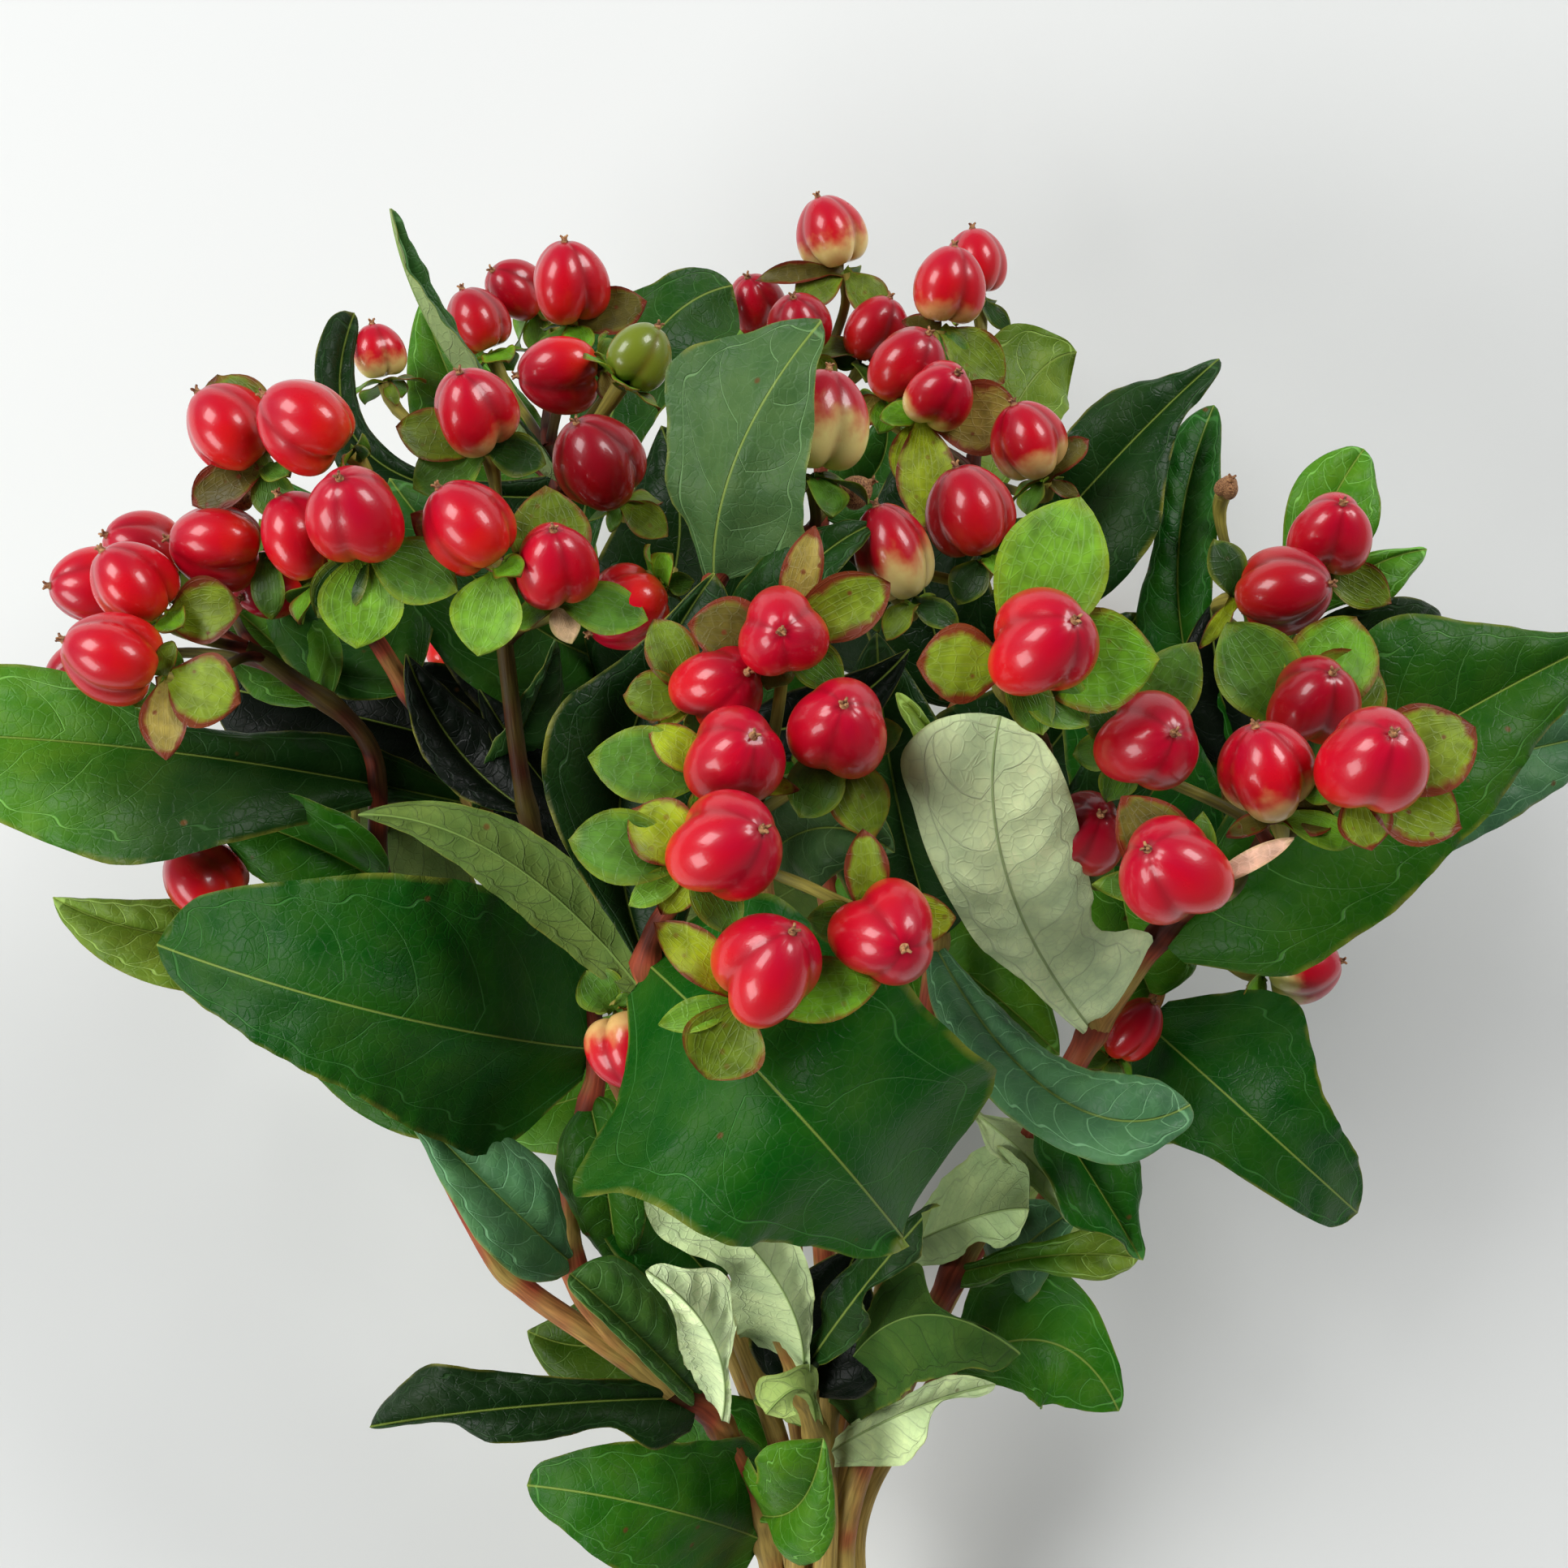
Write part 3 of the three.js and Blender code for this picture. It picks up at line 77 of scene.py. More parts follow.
def squareTo(axis):  # two directions square to an axis
    helper = np.array([0, 0, 1.0]) if abs(axis[2]) < 0.8 else np.array([0, 1.0, 0])
    across = unitOf(np.cross(helper, axis))
    return across, np.cross(axis, across)


def spoke(a, b, degrees):  # a direction turned from a towards b
    angle = math.radians(degrees)
    return a * math.cos(angle) + b * math.sin(angle)


def chance(point, salt):  # a repeatable number from 0 to 1 for a place
    mix = point[0] * 12.9898 + point[1] * 78.233 + point[2] * 37.719 + salt * 4.581
    draw = math.sin(mix) * 43758.5453
    return draw - math.floor(draw)


def blend(values, share):  # the value at a share of the way along evenly spaced values
    return float(np.interp(share * (len(values) - 1), range(len(values)), values))


def smooth(low, high, value):  # 0 below low, 1 above high, and an even S between
    t = np.clip((value - low) / (high - low), 0, 1)
    return t * t * (3 - 2 * t)


def join(*parts):  # grids of numbers joined as the parts of a vector
    return np.stack(np.broadcast_arrays(*parts), axis=-1)


def around(columns):  # evenly spaced angles round a ring
    return np.arange(columns) * 2 * math.pi / columns


markOutputs = dict(skin="Vector", tone="Color")  # every other mark on the meshes is a plain number
noiseReach = (0.3, 0.7)  # where the values of a noise mostly lie


def toLinear(code):  # an sRGB hex colour as linear red, green, blue and alpha
    parts = [int(code[i:i + 2], 16) / 255 for i in (1, 3, 5)]
    return tuple(p / 12.92 if p <= 0.04045 else ((p + 0.055) / 1.055) ** 2.4 for p in parts) + (1.0,)


# Adds a node and returns one of its outputs. Inputs are values, hex colours or outputs of other nodes,
# in a list from the first socket on, or in a dictionary by socket. A range node's list is its input,
# then from low, from high, to low and to high. A colour mix has its share at 0 and its colours at 6 and 7.
def addNode(tree, kind, inputs, out=0, stops=None, **settings):
    node = tree.nodes.new("ShaderNode" + kind)
    for key, value in settings.items():
        setattr(node, key, value)
    if stops:
        while len(node.color_ramp.elements) < len(stops):
            node.color_ramp.elements.new(0.5)
        for element, (position, colour) in zip(node.color_ramp.elements, stops):
            element.position = position
            element.color = toLinear(colour)
    for key, value in inputs.items() if isinstance(inputs, dict) else enumerate(inputs):
        if isinstance(value, bpy.types.NodeSocket):
            tree.links.new(value, node.inputs[key])
        else:
            node.inputs[key].default_value = toLinear(value) if isinstance(value, str) else value
    return node.outputs[out]


def newMaterial(name, marks, **fixed):  # marks come off the mesh, fixed values go on the shader's sockets
    material = bpy.data.materials.new(name)
    material.use_nodes = True
    tree = material.node_tree
    for key, value in fixed.items():
        tree.nodes["Principled BSDF"].inputs[key.replace("_", " ")].default_value = value
    add = partial(addNode, tree)
    return [material, add] + [add("Attribute", {}, markOutputs.get(mark, "Fac"), attribute_name=mark)
                              for mark in marks]


def finishMaterial(material, colour, rough=None, height=None, relief=None, strength=1.0):
    tree = material.node_tree
    inputs = tree.nodes["Principled BSDF"].inputs
    tree.links.new(colour, inputs["Base Color"])
    if rough:
        tree.links.new(addNode(tree, "MapRange", rough), inputs["Roughness"])
    if height:
        bump = addNode(tree, "Bump", {"Strength": strength, "Distance": relief, "Height": height})
        tree.links.new(bump, inputs["Normal"])
    return material


# Living hypericum leaf, upper side: a thin wax over deep green cells. It gives a soft satin gloss,
# pale sunken veins and blades that bulge a little between them.
# Living hypericum leaf, underside: no wax and raised veins. It gives a matt, pale sage net.
leafFinish = dict(
    # the width of its veins, and the solid share of that
    midribMm=0.28, midribCore=0.35, midribShare=0.62, lateralMm=0.2, lateralCore=0.3, veinSaturation=0.85,
    # where the lateral veins join in a loop, with the edge at 1
    loopAt=0.78, loopWave=0.035, noVeinMm=9.0,
    # the net of fine veins and the clouds of colour
    netMm=1.7, netLine=0.09, netBendMm=1.6, bendsPerMm=0.35,
    mottleMm=9, mottleValue=(0.8, 1.22), mottleHue=(0.515, 0.485),
    # the worn edge and a few dead spots
    rim="#8c8a34", rimFade=(0.94, 1.0, 0.0, 0.6), wearPerMm=0.16, wearFade=(0.42, 0.62),
    scar="#5e3c1c", scarsPerMm=0.09, scarFade=(0.03, 0.06, 0.8, 0.0),
    # the relief in metres, what the net and the cells add to it, and how far the roughness varies
    relief=0.00026, netRelief=0.16, grainMm=0.35, grainRelief=0.18, roughSpread=(-0.07, 0.08),
)
leafSides = dict(
    upper=dict(name="waxy living leaf, upper side", gloss=0.18, rough=0.42, net=0.08, lateral=0.6, vein=2.8,
               midrib="#8ba047", rise=-1.0),
    under=dict(name="matt living leaf, underside", gloss=0.05, rough=0.65, net=0.2, lateral=0.5, vein=0.76,
               midrib="#7d9a4e", rise=1.0),
)


def leafMaterial(side):
    f = {**leafFinish, **leafSides[side]}
    marks = ("skin", "tone", "veinPhase", "rim", "veinSpan", "reach")
    material, add, skin, tone, phase, rim, gap, reach = newMaterial(
        f["name"], marks, IOR=1.45, Specular_IOR_Level=f["gloss"])
    # the midrib, then the lateral veins, which join in a loop inside the edge
    across = add("SeparateXYZ", [skin], "Y")
    away = add("Math", [across], operation="ABSOLUTE")
    midrib = add("MapRange", [away, f["midribMm"] * f["midribCore"], f["midribMm"], 1.0, 0.0],
                 interpolation_type="SMOOTHSTEP")
    offLine = add("Math", [phase, 0.5], operation="PINGPONG")
    offMm = add("Math", [offLine, gap], operation="MULTIPLY")
    turn = add("Math", [phase, 2 * math.pi], operation="MULTIPLY")
    swing = add("Math", [turn], operation="COSINE")
    loop = add("Math", [swing, f["loopWave"], f["loopAt"]], operation="MULTIPLY_ADD")
    inside = add("Math", [loop, rim], operation="SUBTRACT")
    insideMm = add("Math", [inside, reach], operation="MULTIPLY")
    offLoop = add("Math", [insideMm], operation="ABSOLUTE")
    beyond = add("Math", [insideMm, 0.0], operation="LESS_THAN")
    offMm = add("Math", [beyond, f["noVeinMm"], offMm], operation="MULTIPLY_ADD")
    offMm = add("Math", [offMm, offLoop], operation="MINIMUM")
    lateral = add("MapRange", [offMm, f["lateralMm"] * f["lateralCore"], f["lateralMm"], 1.0, 0.0],
                  interpolation_type="SMOOTHSTEP")
    # the fine net between them
    wander = add("TexNoise", {"Vector": skin, "Scale": f["bendsPerMm"], "Detail": 1.0}, "Color")
    bent = add("VectorMath", [wander, (f["netBendMm"], f["netBendMm"], 0.0)], operation="MULTIPLY")
    netPlace = add("VectorMath", [skin, bent], operation="ADD")
    net = add("TexVoronoi", {"Vector": netPlace, "Scale": 1 / f["netMm"]}, "Distance",
              feature="DISTANCE_TO_EDGE")
    net = add("MapRange", [net, 0.0, f["netLine"], 1.0, 0.0])
    faint = add("Math", [net, f["net"]], operation="MULTIPLY")
    strong = add("Math", [lateral, f["lateral"]], operation="MULTIPLY")
    veins = add("Math", [faint, strong], operation="MAXIMUM")
    # the blade's colour, cloudy and with lighter veins
    mottle = add("TexNoise", {"Vector": skin, "Scale": 1 / f["mottleMm"], "Detail": 4.0, "Roughness": 0.6},
                 "Fac")
    value = add("MapRange", [mottle, *noiseReach, *f["mottleValue"]])
    blade = add("HueSaturation", {"Value": value, "Color": tone})
    hue = add("MapRange", [mottle, *noiseReach, *f["mottleHue"]])
    blade = add("HueSaturation", {"Hue": hue, "Color": blade})
    lighter = add("HueSaturation", {"Saturation": f["veinSaturation"], "Value": f["vein"], "Color": tone})
    veined = add("Mix", {0: veins, 6: blade, 7: lighter}, 2, data_type="RGBA")
    midrib = add("Math", [midrib, f["midribShare"]], operation="MULTIPLY")
    ribbed = add("Mix", {0: midrib, 6: veined, 7: f["midrib"]}, 2, data_type="RGBA")
    # worn stretches of the edge, and a few dead spots
    worn = add("TexNoise", {"Vector": skin, "Scale": f["wearPerMm"], "Detail": 3.0}, "Fac")
    edge = add("MapRange", [rim, *f["rimFade"]])
    worn = add("MapRange", [worn, *f["wearFade"]])
    edge = add("Math", [edge, worn], operation="MULTIPLY")
    colour = add("Mix", {0: edge, 6: ribbed, 7: f["rim"]}, 2, data_type="RGBA")
    spots = add("TexVoronoi", {"Vector": skin, "Scale": f["scarsPerMm"]}, "Distance")
    spots = add("MapRange", [spots, *f["scarFade"]])
    colour = add("Mix", {0: spots, 6: colour, 7: f["scar"]}, 2, data_type="RGBA")
    # the relief of the veins, sunken above and raised below
    grain = add("TexNoise", {"Vector": skin, "Scale": 1 / f["grainMm"], "Detail": 2.0}, "Fac")
    grain = add("Math", [grain, f["grainRelief"]], operation="MULTIPLY")
    lines = add("Math", [veins, midrib], operation="MAXIMUM")
    cells = add("Math", [net, f["netRelief"]], operation="MULTIPLY")
    lines = add("Math", [lines, cells], operation="MAXIMUM")
    height = add("Math", [lines, f["rise"], grain], operation="MULTIPLY_ADD")
    rough = [mottle, *noiseReach, *(f["rough"] + spread for spread in f["roughSpread"])]
    return finishMaterial(material, colour, rough, height, f["relief"])


# Ripe hypericum berry: a tight waxy skin over flesh. It gives a saturated red with broad soft
# highlights and, towards the foot, the unripe yellow. Its shade colour is painted shade: in the grooves
# between the lobes, in the dent at the tip, and over berries that lie in shadow.
berryFinish = dict(
    ripe=[(0.05, "#d4240c"), (0.5, "#c60a1d"), (0.95, "#b00628")],  # from the foot to the tip
    unripe="#ece08c", unripeReach=(0.1, 0.75), unripeFade=(-0.12, 0.22, 0.0, 0.95), unripeGain=1.6,
    shade="#5a0408", grooveShade=0.42, bud="#6c7a20", cloudMm=4, cloudDrift=(-0.12, 0.12),
    rough=(0.27, 0.36), poreMm=0.3, poreStrength=0.5, relief=0.00004,
)


def berryMaterial():
    f = berryFinish
    marks = ("skin", "along", "pale", "dark", "groove", "bud")
    material, add, skin, along, pale, dark, groove, bud = newMaterial(
        "ripe waxy berry skin", marks, IOR=1.45, Specular_IOR_Level=0.35, Coat_Weight=0.4,
        Coat_Roughness=0.1, Coat_IOR=1.45)
    cloud = add("TexNoise", {"Vector": skin, "Scale": 1 / f["cloudMm"], "Detail": 3.0}, "Fac")
    drift = add("MapRange", [cloud, *noiseReach, *f["cloudDrift"]])
    height = add("Math", [along, drift], operation="ADD")
    red = add("ValToRGB", [height], stops=f["ripe"])
    # the unripe yellow reaches further up a paler berry
    reach = add("MapRange", [pale, 0, 1, *f["unripeReach"]])
    green = add("Math", [reach, height], operation="SUBTRACT")
    green = add("MapRange", [green, *f["unripeFade"]], interpolation_type="SMOOTHSTEP")
    unripe = add("Math", [pale, f["unripeGain"]], operation="MULTIPLY", use_clamp=True)
    green = add("Math", [green, unripe], operation="MULTIPLY")
    colour = add("Mix", {0: green, 6: red, 7: f["unripe"]}, 2, data_type="RGBA")
    colour = add("Mix", {0: bud, 6: colour, 7: f["bud"]}, 2, data_type="RGBA")
    # painted shade: the grooves, the dent at the tip and a berry marked dark all darken towards the shade
    # colour
    deep = add("Math", [groove, f["grooveShade"], dark], operation="MULTIPLY_ADD")
    colour = add("Mix", {0: deep, 6: colour, 7: f["shade"]}, 2, data_type="RGBA")
    pores = add("TexNoise", {"Vector": skin, "Scale": 1 / f["poreMm"], "Detail": 1.0}, "Fac")
    rough = [cloud, *noiseReach, *f["rough"]]
    return finishMaterial(material, colour, rough, pores, f["relief"], f["poreStrength"])


# Sepal: a small thin leaf with veins that run together at its tip. It gives a yellow-green with a
# red-brown burnt rim and spots.
sepalFinish = dict(
    mottleMm=2.5, mottleValue=(0.62, 1.3), margin="#a3ad22", marginFade=(0.55, 1.0, 0.0, 0.6),
    veins=4.5, veinFade=(0.03, 0.12, 0.25, 0.0), netMm=1.6, netFade=(0.01, 0.08, 0.22, 0.0), veinValue=1.4,
    veinSaturation=0.85, rim="#6e2312", rimFade=(0.9, 1.15, 0.0, 0.95), stainsPerMm=0.3,
    stainDrift=(0.35, 0.75, -0.14, 0.2), blushReach=0.36, leastBlush=0.5, spot="#6a2a16", spotsPerMm=0.4,
    spotFade=(0.1, 0.2, 0.8, 0.0), rough=(0.36, 0.55), relief=0.00015,
)


def sepalMaterial():
    f = sepalFinish
    marks = ("skin", "tone", "rim", "fan", "blush")
    material, add, skin, tone, rim, fan, blush = newMaterial(
        "thin fleshy sepal", marks, IOR=1.45, Specular_IOR_Level=0.3)
    mottle = add("TexNoise", {"Vector": skin, "Scale": 1 / f["mottleMm"], "Detail": 4.0}, "Fac")
    value = add("MapRange", [mottle, *noiseReach, *f["mottleValue"]])
    blade = add("HueSaturation", {"Value": value, "Color": tone})
    margin = add("MapRange", [rim, *f["marginFade"]])
    margin = add("Math", [margin, mottle], operation="MULTIPLY")
    blade = add("Mix", {0: margin, 6: blade, 7: f["margin"]}, 2, data_type="RGBA")
    # veins that fan out from the foot, and a net between them
    line = add("Math", [fan, f["veins"]], operation="MULTIPLY")
    line = add("Math", [line, 0.5], operation="PINGPONG")
    line = add("MapRange", [line, *f["veinFade"]])
    net = add("TexVoronoi", {"Vector": skin, "Scale": 1 / f["netMm"]}, "Distance",
              feature="DISTANCE_TO_EDGE")
    net = add("MapRange", [net, *f["netFade"]])
    line = add("Math", [line, net], operation="MAXIMUM")
    lighter = add("HueSaturation", {"Saturation": f["veinSaturation"], "Value": f["veinValue"],
                                    "Color": tone})
    colour = add("Mix", {0: line, 6: blade, 7: lighter}, 2, data_type="RGBA")
    # the burnt rim, broader on a sepal with more blush, and its spots
    stain = add("TexNoise", {"Vector": skin, "Scale": f["stainsPerMm"], "Detail": 3.0}, "Fac")
    stain = add("MapRange", [stain, *f["stainDrift"]])
    edge = add("Math", [rim, stain], operation="ADD")
    edge = add("Math", [blush, f["blushReach"], edge], operation="MULTIPLY_ADD")
    edge = add("MapRange", [edge, *f["rimFade"]])
    burnt = add("MapRange", [blush, 0.0, f["leastBlush"]])
    edge = add("Math", [edge, burnt], operation="MULTIPLY")
    colour = add("Mix", {0: edge, 6: colour, 7: f["rim"]}, 2, data_type="RGBA")
    spots = add("TexVoronoi", {"Vector": skin, "Scale": f["spotsPerMm"]}, "Distance")
    spots = add("MapRange", [spots, *f["spotFade"]])
    spots = add("Math", [spots, blush], operation="MULTIPLY")
    colour = add("Mix", {0: spots, 6: colour, 7: f["spot"]}, 2, data_type="RGBA")
    return finishMaterial(material, colour, [mottle, 0, 1, *f["rough"]], line, f["relief"])


# Young bark: a thin smooth skin, red-brown where it is woody and olive where it is still green. It
# gives a satin stalk with fine streaks along it. The near-black stretch between the woody and the green
# colours is painted shade, for the stalks where they run in among the leaves and berries.
barkFinish = dict(
    # the near-black stop at 0.56 is painted shade
    stops=[(0.24, "#9a8244"), (0.42, "#93422c"), (0.56, "#3a140a"), (0.8, "#4e4a1c"), (1.0, "#8a8038")],
    patchesPerMm=0.07, patchDrift=(-0.2, 0.16), streakMm=0.45, streakStretch=(0.08, 1.0, 1.0),
    streakValue=(0.65, 1.35), rough=(0.4, 0.65), relief=0.0001,
)


def barkMaterial():
    f = barkFinish
    material, add, skin, ripe = newMaterial(
        "young streaked bark", ("skin", "ripe"), IOR=1.45, Specular_IOR_Level=0.2)
    stretched = add("VectorMath", [skin, f["streakStretch"]], operation="MULTIPLY")
    streak = add("TexNoise", {"Vector": stretched, "Scale": 1 / f["streakMm"], "Detail": 4.0}, "Fac")
    patch = add("TexNoise", {"Vector": skin, "Scale": f["patchesPerMm"], "Detail": 2.0}, "Fac")
    patch = add("MapRange", [patch, *noiseReach, *f["patchDrift"]])
    ripe = add("Math", [ripe, patch], operation="ADD")
    colour = add("ValToRGB", [ripe], stops=f["stops"])
    value = add("MapRange", [streak, *noiseReach, *f["streakValue"]])
    colour = add("HueSaturation", {"Value": value, "Color": colour})
    return finishMaterial(material, colour, [streak, 0, 1, *f["rough"]], streak, f["relief"])


# Plain tissues that need one pattern each, at its real size or as coarse as it has to be to show.
# Dried styles and withered berries: papery dead tissue. It gives a matt beige to brown.
# Cut green wood: wet pith and fibres cut across. It gives a pale cream end with fine pores.
# Natural rubber, die cut and stretched. It gives a translucent-looking tan with a dull sheen.
plainFinishes = dict(
    dried=dict(name="dried papery style", fixed=dict(IOR=1.4), grainMm=0.5, stretch=(0.25, 1.0, 1.0),
               stops=[(0.35, "#5c3220"), (0.65, "#b98a5c")], rough=(0.6, 0.85), relief=0.0001),
    cutWood=dict(name="cut green wood", fixed=dict(IOR=1.4), grainMm=1 / 3,
                 stops=[(0.3, "#a58a55"), (0.7, "#dccf9e")], rough=(0.55, 0.75)),
    rubber=dict(name="natural rubber band", fixed=dict(IOR=1.52, Sheen_Weight=0.2), grainMm=0.8,
                stops=[(0.3, "#8e6634"), (0.7, "#c49a5e")], rough=(0.5, 0.7), relief=0.00006),
)


def plainMaterial(kind):
    f = plainFinishes[kind]
    material, add, skin = newMaterial(f["name"], ("skin",), **f["fixed"])
    if "stretch" in f:
        skin = add("VectorMath", [skin, f["stretch"]], operation="MULTIPLY")
    grain = add("TexNoise", {"Vector": skin, "Scale": 1 / f["grainMm"], "Detail": 3.0}, "Fac")
    colour = add("ValToRGB", [grain], stops=f["stops"])
    height = grain if "relief" in f else None
    return finishMaterial(material, colour, [grain, 0, 1, *f["rough"]], height, f.get("relief"))


leafUpper, leafUnder = leafMaterial("upper"), leafMaterial("under")
berrySkin, sepalSkin, bark = berryMaterial(), sepalMaterial(), barkMaterial()
driedTissue, cutWood, rubber = (plainMaterial(kind) for kind in ("dried", "cutWood", "rubber"))
print("materials ready")


def addToScene(name, data):
    item = bpy.data.objects.new(name, data)
    bpy.context.scene.collection.objects.link(item)
    return item


class Surface:
    # Rings of points skinned into closed meshes, with marks on the points that tell the materials more.
    def __init__(self):
        self.points, self.faces, self.slots, self.marks, self.count = [], [], [], [], 0

    def skin(self, rings, slots=0, capSlots=None, isLoop=False, **marks):
        rows, columns = rings.shape[:2]
        grid = self.count + np.arange(rows * columns).reshape(rows, columns)
        after = np.roll(grid, -1, axis=1)
        upper = np.roll(grid, -1, axis=0) if isLoop else grid[1:]
        afterUpper = np.roll(after, -1, axis=0) if isLoop else after[1:]
        lower, afterLower = (grid, after) if isLoop else (grid[:-1], after[:-1])
        quads = np.stack([lower, afterLower, afterUpper, upper], axis=-1).reshape(-1, 4)
        slots = np.broadcast_to(np.asarray(slots), (len(lower), columns)).ravel().tolist()
        points = rings.reshape(-1, 3)
        a, b, c, d = (points[quads[:, k] - self.count] - points[0] for k in range(4))
        isOut = (np.cross(a, b) * c).sum() + (np.cross(a, c) * d).sum() > 0
        faces = [tuple(quad) for quad in (quads if isOut else quads[:, ::-1]).tolist()]
        if not isLoop:  # each end is closed with a fan of triangles
            for row, isHead in ((0, False), (-1, True)):
                pole = self.count + rows * columns + isHead
                for start, end in zip(grid[row].tolist(), after[row].tolist()):
                    face = (start, end, pole)
                    faces.append(face if isOut == isHead else face[::-1])
                slots += slots[:columns] if capSlots is None else [capSlots[isHead]] * columns
            points = np.vstack([points, rings[0].mean(0), rings[-1].mean(0)])
        spread = {}
        for name, value in marks.items():
            shape = (rows, columns, 3) if name in markOutputs else (rows, columns)
            flat = np.broadcast_to(np.asarray(value, float), shape).reshape(rows * columns, -1)
            if not isLoop:
                flat = np.vstack([flat, flat[:columns].mean(0), flat[-columns:].mean(0)])
            spread[name] = flat
        self.points.append(points)
        self.faces += faces
        self.slots += slots
        self.marks.append((len(points), spread))
        self.count += len(points)

    def finish(self, name, node, slotName, materials, crease=None):
        mesh = bpy.data.meshes.new(name)
        points = np.vstack(self.points)
        points[:, 2] = np.maximum(points[:, 2], 0)  # what touches the floor is pressed flat
        mesh.from_pydata((points / 1000 + shift).tolist(), [], self.faces)
        for mark in sorted({key for _, spread in self.marks for key in spread}):
            wide, kind, field = ((3, "FLOAT_VECTOR", "vector") if mark in markOutputs
                                 else (1, "FLOAT", "value"))
            values = np.vstack([spread.get(mark, np.zeros((count, wide))) for count, spread in self.marks])
            layer = mesh.attributes.new(mark, kind, "POINT")
            layer.data.foreach_set(field, values.ravel().astype(np.float32))
        mesh.polygons.foreach_set("use_smooth", [True] * len(self.faces))
        mesh.polygons.foreach_set("material_index", self.slots)
        for material in materials:
            mesh.materials.append(material)
        if crease:
            mesh.set_sharp_from_angle(angle=math.radians(crease))
        piece = addToScene(name, mesh)
        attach(piece, "root")
        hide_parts(node)


def smoothBetween(p, q, r, s, t):  # a smooth line from q to r that also heeds their neighbours
    return 0.5 * (2 * q + (r - p) * t + (2 * p - 5 * q + 4 * r - s) * t ** 2
                  + (3 * q - p - 3 * r + s) * t ** 3)


def smoothBlend(values, shares):  # a smooth line through evenly spaced values
    v = np.array([2 * values[0] - values[1], *values, 2 * values[-1] - values[-2]])
    x = shares * (len(values) - 1)
    i = np.clip(x.astype(int), 0, len(values) - 2)
    return smoothBetween(v[i], v[i + 1], v[i + 2], v[i + 3], x - i)


def curveThrough(points, step):  # a smooth line with a point about every step millimetres
    points = [2 * points[0] - points[1], *points, 2 * points[-1] - points[-2]]
    spans = len(points) - 3
    spots, shares = [], []
    for i in range(spans):
        p, q, r, s = points[i:i + 4]
        count = max(3, int(np.linalg.norm(r - q) / step))
        for t in np.arange(count + (i == spans - 1)) / count:
            spots.append(smoothBetween(p, q, r, s, t))
            shares.append((i + t) / spans)
    return np.array(spots), np.array(shares)


def headings(spots):
    return unitOf(np.gradient(spots, axis=0))


def runLength(spots):
    return np.concatenate([[0], np.cumsum(np.linalg.norm(np.diff(spots, axis=0), axis=1))])


def tubeRings(spots, radii, columns, ridge=0.0):  # rings round a line, carried along it without a twist
    ahead = headings(spots)
    a, _ = squareTo(ahead[0])
    angles = around(columns)
    rings = []
    for spot, axis, radius in zip(spots, ahead, radii):
        a = unitOf(a - axis * np.dot(a, axis))
        b = np.cross(axis, a)
        reach = radius * (1 + ridge * np.cos(2 * angles))[:, None]
        rings.append(spot + reach * (np.cos(angles)[:, None] * a + np.sin(angles)[:, None] * b))
    return np.array(rings)


# The woody stalks and the thin twig under each berry, with radii in mm. What is ripe runs through the
# bark's colours, from the cut foot through a near-black painted shade, where the stalks run in among
# the leaves and berries, to the green under a berry.
stalk = dict(foot=2.5, fork=2.1, head=1.3, stepMm=1.9, lineMm=1.8, columns=14, ridge=0.05, nodeSwell=0.3,
             nodeMm=2.6, ripeAndShadeTrunk=(0, 0.55), ripeAndShadeFork=(0.26, 0.7))
twig = dict(radius=0.85, rows=15, columns=10, ridge=0.08, reach=0.3, sunkMm=0.4, seatSwell=0.6,
            rootSwell=0.25, ripeAndShadeFoot=0.55, ripening=0.6)


def stemLine(stem):  # from the cut foot, through the band, to the head
    row, degrees = stem["seat"]
    across = bundle[row] * math.cos(math.radians(degrees))
    lift = bundle[row] * math.sin(math.radians(degrees))
    slope = math.tan(math.radians(bundle["slope"]))

    def seat(along, spread):
        return bandPlace + np.array([across * spread, along, lift * spread + along * slope])

    end = seat(-foot["reach"], foot["spread"])
    end[2] = foot["height"] + lift * foot["spread"]
    middle = seat(-foot["reach"] / 2, foot["midSpread"])
    return [end, middle, seat(0, 1)] + [place(spot) for spot in stem["trunk"]]


def nearestOn(lines, wish):
    line = min(lines, key=lambda line: np.linalg.norm(line - wish, axis=1).min())
    i = int(np.linalg.norm(line - wish, axis=1).argmin())
    return line[i], headings(line)[i]


def backFromTop(line, order):  # berry stalks leave the top one after another, each a little lower
    run = runLength(line)
    i = int(np.searchsorted(run, run[-1] - order * stalk["stepMm"]).clip(1, len(line) - 1))
    return line[i], headings(line)[i]


def addTube(surface, line, radii, cut, grainMm, seed, **more):
    turn = around(cut["columns"])[None]
    skin = join(runLength(line)[:, None], grainMm * np.cos(turn) + seed, grainMm * np.sin(turn))
    surface.skin(tubeRings(line, radii, cut["columns"], cut["ridge"]), skin=skin, **more)


def addStalk(surface, line, shares, startRadius, endRadius, joints, ripe):
    radii = startRadius + (endRadius - startRadius) * shares
    for joint in joints:  # a swelling where a leaf sits
        away = np.linalg.norm(line - joint, axis=1)
        radii = radii * (1 + stalk["nodeSwell"] * np.exp(-(away / stalk["nodeMm"]) ** 2))
    addTube(surface, line, radii, stalk, 2, chance(line[0], 1) * 90, capSlots=(1, 0),
            ripe=(ripe[0] + (ripe[1] - ripe[0]) * shares)[:, None])


